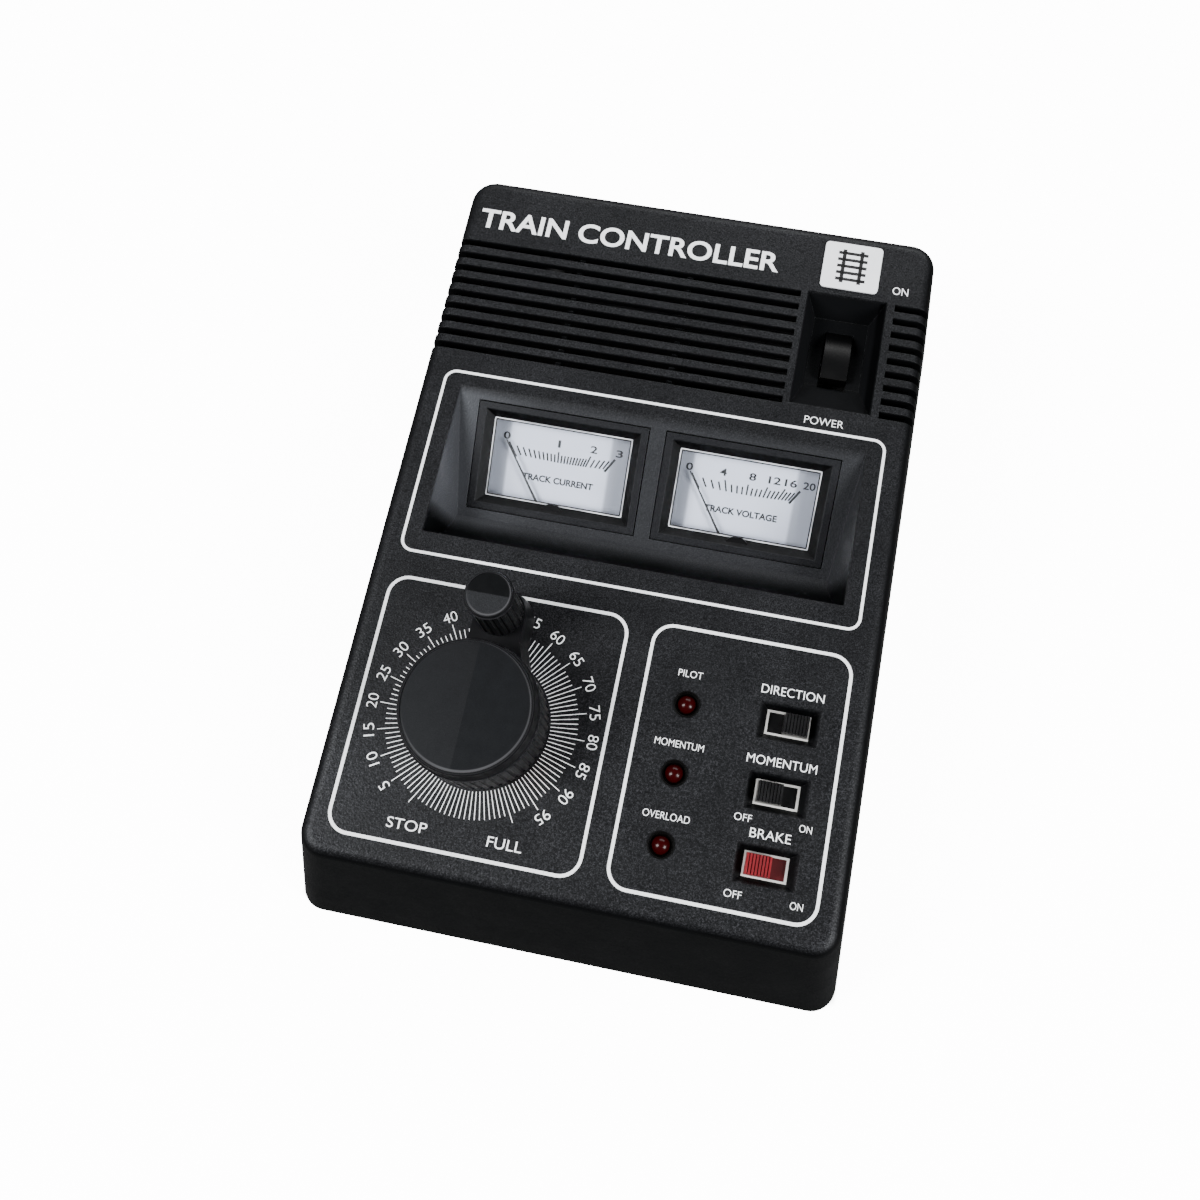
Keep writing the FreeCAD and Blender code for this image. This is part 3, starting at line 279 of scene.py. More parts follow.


def case_black():
    """The case's blue-black plastic: fine leather grain on top, with a painted sheen beside the meters; smoother
    below it, and darker there as painted shade.
    """
    shader = Shader("case_black")
    grain = shader.noise(0.27, 2.0, 0.6)
    pebbles = shader.ranged(shader.cells(0.5), (0.0, 0.62), (1.0, 0.0))
    tops = shader.ranged(grain, (0.43, 0.67), (0.0, 1.0))
    patches = shader.cloudy(24.0, (0.55, 1.0), 4.0)
    fine = shader.product(tops, patches)
    lumps = shader.product(fine, shader.ranged(shader.noise(0.7, 2.0, 0.6), (0.40, 0.60), (0.35, 1.65)))
    towards_front = shader.side_of(PANEL @ LUMPS_FROM, -UPHILL, 30.0)
    textured = shader.blend(towards_front, shader.blend(fine, CASE_VALLEY, CASE_PEBBLE),
                            shader.blend(lumps, CASE_VALLEY, CASE_PEBBLE))
    below = shader.below(SUNK_DEPTH, 0.5)
    # painted sheen: a paler colour on the panel beside the meters, stronger to the left
    meters = shader.patch((-METERS_HALF, METERS_HALF), METERS_V, 2.5)
    leftward = shader.side_of(PALER_FROM, -SIDEWAYS, 16.0)
    painted_sheen = shader.product(shader.product(meters, below),
                           shader.ranged(leftward, (0.0, 1.0), (0.20, 0.95)))
    top_with_painted_sheen = shader.blend(painted_sheen, textured, CASE_PAINTED_SHEEN)
    # painted shade: darker below the panel, except beside the meters, and less dark round the power rocker
    sunk = shader.product(below, shader.calculate("SUBTRACT", 1.0, meters))
    pocket = shader.patch(POCKET_X, POCKET_V, 0.3)
    colour = shader.blend(sunk, top_with_painted_sheen, shader.blend(pocket, CASE_SMOOTH_AND_SHADE, CASE_POCKET_SHADE))
    rubbed = shader.ranged(shader.noise(1.6, 4.0, 0.7), (0.46, 0.64), (0.0, 1.0))
    worn = shader.product(shader.edges(0.3), rubbed)
    shader.colour(shader.blend(worn, colour, CASE_WORN))
    shader.rough(shader.cloudy(9.0, (0.40, 0.52), 5.0, 0.6))
    relief = shader.product(shader.product(grain, pebbles), shader.ranged(sunk, (0.0, 1.0), (1.0, 0.25)))
    shader.bumps((relief, 0.10), (shader.noise(2.6, 3.0), 0.010), rounding=0.3)
    shine = shader.ranged(sunk, (0.0, 1.0), (0.16, 0.08))
    shader.join(shine, shader.surface.inputs["Specular IOR Level"])
    shader.put(Specular_Tint=COOL_SHEEN)
    return shader


def bezel_black():
    """The meters' frames: satin rim, and painted shade on the slope down to the window."""
    shader = Shader("bezel_black")
    origin = METER_FACES["current_meter"] @ Vector((0, 0, -0.05))
    normal = METER_FACES["current_meter"].to_3x3() @ Vector((0, 0, 1))
    # painted shade: near black below the rim, on the slope down to the window
    rim = shader.side_of(origin, normal.normalized())
    grain = shader.noise(0.3, 3.0, 0.6)
    satin = shader.blend(shader.ranged(grain, (0.35, 0.65), (0.0, 1.0)), (0.0024, 0.0027, 0.0034),
                         (0.0135, 0.0140, 0.0160))
    shader.colour(shader.blend(rim, (0.0006, 0.0006, 0.0007), satin))
    shader.rough(shader.cloudy(6.0, (0.38, 0.5), 4.0))
    shader.bumps((grain, 0.012), rounding=0.15)
    shader.put(Specular_IOR_Level=0.16, Specular_Tint=COOL_SHEEN)
    return shader


def knob_black():
    """Satin knob moulding, with a highlight painted along its crown's edges."""
    shader = Shader("knob_black")
    cloud = shader.noise(9.0, 3.0)
    crown = shader.side_of(THROTTLE_AT + PANEL_NORMAL * KNOB_SHOULDER * MM, PANEL_NORMAL)
    # painted highlight along the edges of the crown
    crown_edge_highlight = shader.product(shader.edges(0.16), crown)
    satin = shader.blend(cloud, (0.0036, 0.0037, 0.0042), (0.0056, 0.0057, 0.0064))
    shader.colour(shader.blend(crown_edge_highlight, satin, (0.030, 0.031, 0.034)))
    shader.rough(shader.cloudy(4.0, (0.38, 0.46)))
    shader.bumps((shader.noise(0.35), 0.0008))
    shader.put(Specular_IOR_Level=0.08)
    return shader


# a highlight painted along the lit side of each knob disc's rim
RIM_INSET = (0.36, 0.2)      # from a disc's edge to where its rim starts and to where it is full
RIM_TOWARDS = Vector((0.8, -0.6, 0.0))
RIM_SOFT = 0.6               # in radii
RIM_HIGHLIGHT = (0.045, 0.045, 0.048)


def disc_rim(shader, node, centre):
    """1 along the lit side of a disc's edge, where a highlight is painted."""
    low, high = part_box(node)
    radius = (high.x - low.x) / 2
    away = shader.add("ShaderNodeVectorMath", operation="DISTANCE")
    shader.join(shader.place, away.inputs[0])
    away.inputs[1].default_value = ((low.x + high.x) / 2, (low.y + high.y) / 2, high.z)
    start, full = (radius - inset * MM for inset in RIM_INSET)
    rim = shader.ranged(away.outputs["Value"], (start, full), (0.0, 1.0))
    return shader.product(rim, shader.side_of(centre, RIM_TOWARDS, RIM_SOFT * radius / MM))


def two_tone(name, node, centre, direction, tones, relief, roughness):
    """A disc of two half faces, each with its own tone and grain, and a highlight painted along its rim."""
    shader = Shader(name)
    side = shader.side_of(centre, direction)
    grain = shader.noise(0.22, 4.0, 0.65)
    shade = shader.add("ShaderNodeVectorMath", operation="SCALE")
    shader.join(shader.blend(side, *tones), shade.inputs[0])
    shader.join(shader.ranged(grain, (0.4, 0.64), (0.55, 1.6)), shade.inputs["Scale"])
    shader.colour(shader.blend(disc_rim(shader, node, centre), shade.outputs["Vector"], RIM_HIGHLIGHT))
    shader.rough(shader.product(shader.ranged(side, (0.0, 1.0), roughness),
                                shader.cloudy(3.0, (0.92, 1.08))))
    height = shader.product(grain, shader.ranged(side, (0.0, 1.0), relief))
    shader.bumps((height, 0.03), rounding=0.12)
    shader.put(Specular_IOR_Level=0.15, Specular_Tint=(0.88, 0.94, 1.0, 1.0))
    return shader


def knob_cap():
    """The throttle's disc: its left half a shade paler."""
    tones = ((0.0040, 0.0040, 0.0045), (0.0026, 0.0028, 0.0033))
    return two_tone("knob_cap", "throttle_cap", THROTTLE_AT, SIDEWAYS, tones, (0.5, 0.6), (0.46, 0.48))


def finger_cap():
    """The finger knob's disc: front half sand-blasted, back half smooth and dark."""
    centre = Vector(JOINTS["finger_spin"]["pos_m"])
    tones = ((0.0105, 0.0108, 0.0118), (0.0010, 0.0010, 0.0011))
    return two_tone("finger_cap", "finger_cap", centre, UPHILL, tones, (1.0, 0.1), (0.5, 0.42))


def meter_case():
    return moulded("meter_case", grey(0.006), grey(0.009), (0.5, 0.62),
                   grain=0.3, depth=0.006)


def collar_black():
    shader = moulded("collar_black", grey(0.0004), grey(0.0008), (0.5, 0.62),
                     grain=0.4, depth=0.001)
    shader.put(Specular_IOR_Level=0.08)
    return shader


def switch_body():
    return moulded("switch_body", grey(0.006), grey(0.009), (0.45, 0.6),
                   grain=0.3, depth=0.004)


WINDOW_FLOOR = 2.2           # how far below the panel a slider gets painted shade, down in its window
WINDOW_SHADE_LEFT = 0.5              # how much of its tone the painted shade leaves there


def slider(name, dark, light, roughness, wear):
    """A slide switch's slider, with shade painted on it down in its window, darker there than on its grip."""
    shader = moulded(name, dark, light, roughness, grain=0.3, depth=0.002, wear=wear, edge=0.08, mottle=5.0)
    colour = shader.surface.inputs["Base Color"].links[0].from_socket
    # painted shade on the part of the slider down in its window
    painted_shade = tuple(channel * WINDOW_SHADE_LEFT for channel in dark)
    shader.colour(shader.blend(shader.below(WINDOW_FLOOR, 0.2), colour, painted_shade))
    return shader


def slider_black():
    return slider("slider_black", (0.0026, 0.0026, 0.0030), (0.0042, 0.0043, 0.0048), (0.26, 0.36),
                  wear=(0.034, 0.034, 0.036))


def slider_red():
    return slider("slider_red", (0.13, 0.0010, 0.0045), (0.18, 0.002, 0.007), (0.36, 0.46),
                  wear=(0.26, 0.010, 0.018))


def rocker_black():
    shader = moulded("rocker_black", (0.0010, 0.0010, 0.0012), (0.0018, 0.0018, 0.0020), (0.34, 0.44),
                     grain=0.3, depth=0.0015, wear=grey(0.012), edge=0.2)
    shader.put(Specular_IOR_Level=0.14)
    return shader


def package_black():
    return moulded("package_black", grey(0.012), grey(0.020), (0.5, 0.65),
                   grain=0.12, depth=0.006)


def terminal_black():
    return moulded("terminal_black", (0.0040, 0.0040, 0.0042), (0.0060, 0.0060, 0.0062), (0.3, 0.42),
                   grain=0.3, depth=0.003, wear=grey(0.02), edge=0.2)


def foot_rubber():
    return moulded("foot_rubber", grey(0.010), (0.018, 0.018, 0.017), (0.75, 0.9),
                   grain=0.25, depth=0.02, wear=grey(0.03), edge=0.3, mottle=3.0)


def gland_rubber():
    return moulded("gland_rubber", grey(0.008), grey(0.014), (0.6, 0.75),
                   grain=0.3, depth=0.01, wear=grey(0.025), edge=0.3, mottle=4.0)


def plate_black():
    """Stove-painted steel: orange peel, paint rubbed thin along the slots."""
    return moulded("plate_black", (0.008, 0.008, 0.009), (0.013, 0.013, 0.014), (0.38, 0.5),
                   grain=1.4, depth=0.02, wear=(0.16, 0.15, 0.14), edge=0.25, mottle=16.0)


def board_green():
    """Solder mask over faint copper tracks."""
    shader = Shader("board_green")
    tracks = shader.add("ShaderNodeTexBrick")
    tracks.inputs["Scale"].default_value = 1 / (9 * MM)
    tracks.inputs["Mortar Size"].default_value = 0.06
    shader.join(shader.place, tracks.inputs["Vector"])
    shader.colour(shader.blend(tracks.outputs["Fac"], (0.010, 0.075, 0.028), (0.030, 0.15, 0.05)))
    shader.rough(shader.cloudy(6.0, (0.2, 0.34)))
    shader.bumps((tracks.outputs["Fac"], 0.03))
    return shader


def capacitor_blue():
    shader = moulded("capacitor_blue", (0.012, 0.03, 0.15), (0.02, 0.05, 0.22), (0.22, 0.34),
                     grain=3.0, depth=0.01)
    shader.put(Coat_Weight=0.3)
    return shader


def winding_tape():
    """Overlapping turns of varnished tape, near black as painted shade inside the case."""
    shader = Shader("winding_tape")
    wave = shader.add("ShaderNodeTexWave", bands_direction="Z", wave_profile="SAW")
    wave.inputs["Scale"].default_value = 1 / (30 * MM)
    wave.inputs["Distortion"].default_value = 0.4
    shader.join(shader.place, wave.inputs["Vector"])
    # near-black colours stand in for the shade inside the case
    shader.colour(shader.blend(wave.outputs["Fac"], (0.0009, 0.0008, 0.0007), (0.0020, 0.0016, 0.0012)))
    shader.put(Specular_IOR_Level=0.06)
    shader.rough(shader.cloudy(3.0, (0.4, 0.6)))
    shader.bumps((wave.outputs["Fac"], 0.1), (shader.noise(0.5), 0.01))
    return shader


def metal(name, dull, bright, roughness, direction, edge=None):
    """Rolled or plated metal: fine streaks one way, cloudy plating."""
    shader = Shader(name)
    streaks = shader.noise(0.25, 3.0, 0.6, 0.0, shader.stretched(direction))
    cloud = shader.ranged(shader.noise(5.0, 4.0), (0.35, 0.65), (0.0, 1.0))
    colour = shader.blend(cloud, dull, bright)
    if edge:
        colour = shader.blend(shader.edges(0.15), colour, edge)
    shader.colour(colour)
    shader.rough(shader.ranged(streaks, (0.3, 0.7), roughness))
    shader.bumps((streaks, 0.003))
    shader.put(Metallic=1.0)
    return shader


def screw_steel():
    return metal("screw_steel", (0.42, 0.42, 0.43), (0.58, 0.58, 0.60), (0.22, 0.38), (1, 1, 0.1))


def plated_can():
    return metal("plated_can", (0.44, 0.44, 0.42), (0.56, 0.55, 0.52), (0.26, 0.42), (0.1, 1, 1))


def switch_plate():
    shader = metal("switch_plate", (0.70, 0.69, 0.66), (0.86, 0.85, 0.82), (0.34, 0.5), (0.1, 1, 1),
                   (0.95, 0.94, 0.92))
    shader.put(Metallic=0.6)
    return shader


def heat_sink_alu():
    return metal("heat_sink_alu", (0.04, 0.04, 0.045), (0.07, 0.07, 0.075), (0.35, 0.5), (1, 1, 0.05))


def terminal_brass():
    return metal("terminal_brass", (0.60, 0.42, 0.17), (0.74, 0.56, 0.26), (0.22, 0.36), (1, 1, 0.2))


def movement_iron():
    return metal("movement_iron", (0.20, 0.20, 0.21), (0.32, 0.32, 0.33), (0.4, 0.55), (1, 0.2, 1))


def core_iron():
    """Varnished laminations, stacked front to back, and the strap round them, near black as painted shade inside
    the case.
    """
    # near-black colours stand in for the shade inside the case
    shader = metal("core_iron", (0.0014, 0.0013, 0.0012), (0.0030, 0.0028, 0.0026), (0.5, 0.65),
                   (0.2, 1, 0.2))
    sheets = shader.add("ShaderNodeTexWave", bands_direction="Y", wave_profile="TRI")
    sheets.inputs["Scale"].default_value = 1 / (4 * MM)
    shader.join(shader.place, sheets.inputs["Vector"])
    shader.bumps((sheets.outputs["Fac"], 0.05))
    shader.put(Metallic=0.0, Specular_IOR_Level=0.06)
    return shader


def enamel(name, meter):
    """A meter's cool white scale, with grey shade painted where its cover's side walls stand over it."""
    shader = Shader(name)
    white = shader.blend(shader.noise(9.0, 3.0), (0.66, 0.70, 0.80), (0.74, 0.78, 0.88))
    start, end = (METER_FACES[meter] @ Vector((x, 0, 0)) for x in FACE_CLEAR)
    middle = shader.between(start, end, SIDEWAYS, 0.5)
    # painted shade: grey towards the sides of the face
    shader.colour(shader.blend(middle, (0.34, 0.36, 0.41), white))
    shader.rough(shader.cloudy(1.0, (0.5, 0.62)))
    shader.bumps((shader.noise(0.3), 0.002))
    return shader


def scale_white():
    return enamel("scale_white", "current_meter")


def voltage_scale():
    return enamel("voltage_scale", "voltage_meter")


def needle_black():
    return moulded("needle_black", (0.006, 0.006, 0.007), (0.010, 0.010, 0.011), (0.4, 0.5),
                   grain=0.2, depth=0.001)


def badge_white():
    """The badge's gloss white face, duller along its rim."""
    return moulded("badge_white", (0.86, 0.88, 0.91), (0.91, 0.93, 0.96), (0.22, 0.32),
                   grain=1.2, depth=0.002, wear=(0.70, 0.70, 0.68), edge=0.3, mottle=6.0)


def let_light_through(shader, tint):
    """Light from the lamps passes straight in, so that what is behind the clear plastic is lit."""
    clear = shader.add("ShaderNodeBsdfTransparent")
    clear.inputs["Color"].default_value = (*tint, 1.0)
    mix = shader.add("ShaderNodeMixShader")
    path = shader.add("ShaderNodeLightPath")
    passing = shader.calculate("MAXIMUM", path.outputs["Is Shadow Ray"], path.outputs["Is Diffuse Ray"])
    shader.join(passing, mix.inputs["Fac"])
    shader.join(shader.surface.outputs["BSDF"], mix.inputs[1])
    shader.join(clear.outputs["BSDF"], mix.inputs[2])
    shader.join(mix.outputs["Shader"], shader.output.inputs["Surface"])


def clear_window():
    """Clear moulded plastic with faint smears."""
    shader = Shader("clear_window")
    smears = shader.noise(7.0, 5.0, 0.65, 1.2)
    shader.rough(shader.ranged(smears, (0.4, 0.75), (0.0, 0.012)))
    shader.put(Transmission_Weight=1.0, IOR=1.49, Base_Color=(0.97, 0.98, 1.0, 1.0))
    let_light_through(shader, (0.95, 0.96, 0.98))
    return shader


def cover_edge():
    """A painted highlight for the edge of the meters' clear covers."""
    shader = Shader("cover_edge")
    along = shader.ranged(shader.noise(7.0, 2.0), (0.35, 0.65), (0.0, 1.0))
    shader.colour(shader.blend(along, (0.30, 0.31, 0.33), (0.80, 0.82, 0.86)))
    shader.rough(shader.cloudy(2.0, (0.15, 0.3)))
    shader.bumps((shader.noise(0.5), 0.002))
    return shader


def lamp_red():
    """Dark red tinted lens."""
    shader = Shader("lamp_red")
    depth = shader.noise(1.6, 3.0)
    shader.colour(shader.blend(depth, (0.011, 0.0002, 0.0004), (0.027, 0.0003, 0.0008)))
    shader.rough(shader.cloudy(0.8, (0.22, 0.30)))
    shader.put(Specular_IOR_Level=0.10, Coat_Weight=0.10, Coat_Roughness=0.03)
    return shader


def ink_white():
    """Screen-printed white: chalky, thin in places."""
    shader = Shader("ink_white")
    thin = shader.ranged(shader.noise(0.35, 4.0, 0.7), (0.30, 0.46), (0.0, 1.0))
    cloud = shader.blend(shader.noise(4.0, 3.0), (0.92, 0.93, 0.95), (0.96, 0.97, 0.99))
    shader.colour(shader.blend(thin, (0.5, 0.51, 0.53), cloud))
    shader.rough(shader.cloudy(0.6, (0.45, 0.65)))
    shader.bumps((shader.noise(0.3), 0.006))
    return shader


def ink_black():
    """Printed black on the meter scales and the badge."""
    shader = Shader("ink_black")
    shader.colour(shader.blend(shader.noise(0.5, 3.0), (0.001, 0.001, 0.0015), (0.003, 0.003, 0.004)))
    shader.rough(shader.cloudy(0.5, (0.4, 0.6)))
    shader.bumps((shader.noise(0.25), 0.002))
    return shader


FLOOR_GLOW = 12.0            # keeps the paper, and the backdrop behind it, white under soft light
WORLD_GLOW = 0.08            # what the backdrop adds to the light
FOOTPRINT = (Vector((0.076, 0, 0)), Vector((0, 0.108, 0)))   # just under half the case, each way


def floor_white():
    """Plain pale paper, dark under the case as painted shade, and dim in what the glossy case mirrors of it."""
    shader = Shader("floor_white")
    seen = shader.add("ShaderNodeLightPath").outputs["Is Camera Ray"]
    paper = shader.blend(shader.noise(60.0, 3.0), grey(0.86), grey(0.88))
    shader.colour(shader.blend(seen, grey(0.10), paper))
    shader.rough(shader.cloudy(4.0, (0.8, 0.9)))
    shader.bumps((shader.noise(0.6), 0.01))
    # painted shade: no glow under the case
    covered = shader.product(*(shader.between(-half, half, half.normalized(), 1.0) for half in FOOTPRINT))
    glow = shader.product(seen, shader.ranged(covered, (0.0, 1.0), (FLOOR_GLOW, 0.0)))
    shader.put(Emission_Color=(1.0, 1.0, 1.0, 1.0))
    shader.join(glow, shader.surface.inputs["Emission Strength"])
    return shader


FINISHES = (
    case_black, plate_black, foot_rubber, gland_rubber, screw_steel, badge_white,
    knob_black, knob_cap, finger_cap, lamp_red, collar_black,
    bezel_black, meter_case, clear_window, cover_edge, scale_white, voltage_scale, movement_iron,
    needle_black, switch_plate, switch_body, slider_black, slider_red, rocker_black,
    board_green, capacitor_blue, package_black, heat_sink_alu, plated_can, core_iron, winding_tape,
    terminal_black, terminal_brass, ink_white, ink_black, floor_white,
)
MATERIALS = {finish.__name__: finish().material for finish in FINISHES}

# pieces that look different from the rest of their slot; the transformer strap takes the core's near-black finish
# as painted shade
OWN_FINISH = {"finger_cap": "finger_cap", "voltage_meter_scale": "voltage_scale",
              "transformer_strap": "core_iron"}
for node, thing in frame["nodes"].items():
    thing.data.materials.clear()
    thing.data.materials.append(MATERIALS[OWN_FINISH.get(node, SLOT_OF[node])])


# ---------------------------------------------------------------- printing
INK = 0.03                   # how far print stands off its surface
TEXT_DEPTH = 0.05            # of letters as they are made, before they are brought to the ink's
CORNER_STEPS = 8
WHITE = ("badge_white", "ink_white")     # slot and finish
BLACK = ("needle_black", "ink_black")


class Print:
    """Flat shapes gathered in one frame, then made into one piece."""

    def __init__(self, name, placement, height=0.0):
        self.name = name
        self.placement = placement
        self.height = height
        self.mesh = bmesh.new()

    def polygon(self, points):
        """A raised flat shape from its outline, anticlockwise from above."""
        count = len(points)
        tops = [self.mesh.verts.new((*point, self.height + INK)) for point in points]
        feet = [self.mesh.verts.new((*point, self.height)) for point in points]
        self.mesh.faces.new(tops)
        for here in range(count):
            there = (here + 1) % count
            self.mesh.faces.new((feet[here], feet[there], tops[there], tops[here]))

    def strip(self, start, end, width):
        """A straight line."""
        along = (Vector(end) - Vector(start)).normalized()
        side = Vector((-along.y, along.x)) * width / 2
        start, end = Vector(start), Vector(end)
        self.polygon([start - side, end - side, end + side, start + side])

    def ring(self, outer, inner):
        """A closed band between two outlines with as many points each."""
        count = len(outer)
        levels = (self.height + INK, self.height)
        rows = [[self.mesh.verts.new((*point, level)) for point in outline]
                for outline in (outer, inner) for level in levels]
        top_out, low_out, top_in, low_in = rows
        for here in range(count):
            there = (here + 1) % count
            self.mesh.faces.new((top_out[here], top_out[there], top_in[there], top_in[here]))
            self.mesh.faces.new((low_out[here], low_out[there], top_out[there], top_out[here]))
            self.mesh.faces.new((low_in[there], low_in[here], top_in[here], top_in[there]))

    def frame(self, x, v, radius, width):
        """A rounded rectangular line, by the middle of its line."""
        self.ring(rounded(x, v, radius, width / 2), rounded(x, v, radius, -width / 2))

    def text(self, words, place, height, width=None, weight=0.0, turn=0.0):
        """Words centred on a place, turned anticlockwise, sized by their height or width."""
        curve = bpy.data.curves.new("words", "FONT")
        curve.body = words
        curve.offset = weight
        curve.extrude = TEXT_DEPTH
        writer = bpy.data.objects.new("words", curve)
        letters = bpy.data.meshes.new_from_object(writer)
        xs = [vertex.co.x for vertex in letters.vertices]
        ys = [vertex.co.y for vertex in letters.vertices]
        middle = ((min(xs) + max(xs)) / 2, (min(ys) + max(ys)) / 2)
        scale_y = height / (max(ys) - min(ys))
        scale_x = width / (max(xs) - min(xs)) if width else scale_y
        turned = Matrix.Rotation(turn, 2)
        for vertex in letters.vertices:
            flat = Vector(((vertex.co.x - middle[0]) * scale_x, (vertex.co.y - middle[1]) * scale_y))
            flat = turned @ flat + Vector(place)
            level = self.height + INK if vertex.co.z > 0 else self.height
            vertex.co = (*flat, level)
        self.mesh.from_mesh(letters)
        bpy.data.objects.remove(writer)
        bpy.data.curves.remove(curve)
        bpy.data.meshes.remove(letters)

    def finish(self, slot, finish):
        """Brings the shapes to their place, as one piece that rides on the housing."""
        self.mesh.transform(self.placement)
        bmesh.ops.recalc_face_normals(self.mesh, faces=self.mesh.faces)
        thing = new_object(self.name, self.mesh, finish)
        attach(thing, HOUSING)


def new_object(name, mesh, finish):
    """An object from a bmesh that is already in its place."""
    data = bpy.data.meshes.new(name)
    mesh.to_mesh(data)
    mesh.free()
    data.materials.append(MATERIALS[finish])
    thing = bpy.data.objects.new(name, data)
    bpy.context.scene.collection.objects.link(thing)
    return thing


def rounded(x, v, radius, grow):
    """The outline of a rounded rectangle, grown outwards."""
    points = []
    corners = ((x[1], v[0], -90), (x[1], v[1], 0), (x[0], v[1], 90), (x[0], v[0], 180))
    for corner_x, corner_v, first in corners:
        middle_x = corner_x - math.copysign(radius, corner_x - sum(x) / 2)
        middle_v = corner_v - math.copysign(radius, corner_v - sum(v) / 2)
        for step in range(CORNER_STEPS + 1):
            angle = math.radians(first + 90 * step / CORNER_STEPS)
            reach = radius + grow
            points.append((middle_x + reach * math.cos(angle), middle_v + reach * math.sin(angle)))
    return points


def around(radius, clockwise):
    """A point on a circle, by its angle clockwise from straight up, in degrees."""
    angle = math.radians(clockwise)
    return Vector((radius * math.sin(angle), radius * math.cos(angle)))


GROUPS = (                   # x, v, corner radius, line width
    ((-64.2, 64.2), (43.0, 98.9), 3.3, 0.8),
    ((-64.2, 2.95), (-35.0, 35.25), 5.5, 0.9),
    ((10.27, 64.05), (-35.15, 35.2), 5.5, 0.9),
)


def print_frames():
    """The white lines round the three groups of controls."""
    lines = Print("panel_outlines", PANEL)
    for group in GROUPS:
        lines.frame(*group)
    lines.finish(*WHITE)


DIAL_START = -150.0          # degrees, where 0 stands
DIAL_STEP = 3.0              # degrees for one unit
DIAL_END = 100
DIAL_TICKS = 120             # they go on past the end, all the way round
DIAL_NUMBERED = 5            # every so many ticks
TICK_INNER = 18.5            # radii
TICK_OUTER = 25.8
LONG_TICK_OUTER = 28.0
DIAL_TICK_WIDTH = 0.21
DIAL_NUMBERS_AT = 30.2
DIAL_NUMBER_HEIGHT = 2.85
DIAL_NUMBER_WEIGHT = -0.008
DIAL_NUMBER_WIDTH = 3.85
NARROW_NUMBERS = {5: 1.75, 10: 3.5, 15: 3.5}


def print_dial():
    """The throttle's scale: ticks all round, a number at every fifth from 5 to 95."""
    centre = Vector((DIAL_X, 0))
    ticks = Print("dial_ticks", PANEL)
    for unit in range(DIAL_TICKS):
        angle = DIAL_START + unit * DIAL_STEP
        numbered = unit % DIAL_NUMBERED == 0 and unit <= DIAL_END
        outer = LONG_TICK_OUTER if numbered else TICK_OUTER
        ticks.strip(centre + around(TICK_INNER, angle), centre + around(outer, angle), DIAL_TICK_WIDTH)
    ticks.finish(*WHITE)
    numbers = Print("dial_numbers", PANEL)
    for unit in range(DIAL_NUMBERED, DIAL_END, DIAL_NUMBERED):
        angle = DIAL_START + unit * DIAL_STEP
        width = NARROW_NUMBERS.get(unit, DIAL_NUMBER_WIDTH)
        numbers.text(str(unit), centre + around(DIAL_NUMBERS_AT, angle), DIAL_NUMBER_HEIGHT, width,
                     DIAL_NUMBER_WEIGHT, -math.radians(angle))
    numbers.finish(*WHITE)


PANEL_WORDS = (              # word, x, v, height, width, stroke weight
    ("STOP", DIAL_X - 12.95, -30.05, 2.75, 10.75, 0.0),
    ("FULL", DIAL_X + 13.2, -30.05, 2.75, 9.25, 0.0),
    ("PILOT", 21.97, 22.9, 1.9, 6.6, -0.006),
    ("MOMENTUM", 22.35, 3.9, 1.9, 13.1, -0.006),
    ("OVERLOAD", 22.4, -15.0, 1.9, 12.4, -0.006),
    ("DIRECTION", 49.6, 22.8, 2.4, 16.8, -0.003),
    ("MOMENTUM", 49.6, 4.0, 2.4, 18.5, -0.003),
    ("BRAKE", 49.6, -14.8, 2.4, 10.7, -0.003),
    ("OFF", 41.9, -11.5, 1.9, 4.6, -0.006),
    ("ON", 58.2, -11.5, 1.9, 3.3, -0.006),
    ("OFF", 42.5, -30.8, 1.9, 4.6, -0.006),
    ("ON", 58.8, -30.8, 1.9, 3.3, -0.006),
    ("ON", 62.1, 147.3, 2.5, 4.6, -0.004),
    ("POWER", 46.1, 101.9, 2.3, 11.2, -0.008),
)


def print_labels():
    """The words beside the controls."""
    words = Print("panel_words", PANEL)
    for word, x, v, height, width, weight in PANEL_WORDS:
        words.text(word, (x, v), height, width, weight)
    words.finish(*WHITE)


TITLE = ("TRAIN CONTROLLER", (-20.5, 150.6), 6.6, 92.0, 0.02)


def print_title():
    """A plain title along the back edge, in place of a maker's."""
    title = Print("title_words", PANEL)
    title.text(*TITLE)
    title.finish(*WHITE)


BADGE_TOP = 0.4              # top of the badge plate above the panel
RAIL_X = 2.6                 # each side of the middle
RAIL_END = 5.6
RAIL_WIDTH = 1.1
SLEEPER_ROWS = (-4.4, -2.2, 0.0, 2.2, 4.4)
SLEEPER_END = 4.4
SLEEPER_WIDTH = 1.0


def print_badge():
    """A plain pictogram on the badge plate: a length of track."""
    low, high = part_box("badge_plate")
    middle = PANEL.inverted() @ ((low + high) / 2)
    mark = Print("badge_mark", PANEL @ Matrix.Translation((middle.x, middle.y, BADGE_TOP)))
    for x in (-RAIL_X, RAIL_X):
        mark.strip((x, -RAIL_END), (x, RAIL_END), RAIL_WIDTH)
    for v in SLEEPER_ROWS:
        mark.strip((-SLEEPER_END, v), (SLEEPER_END, v), SLEEPER_WIDTH)
    mark.finish(*BLACK)


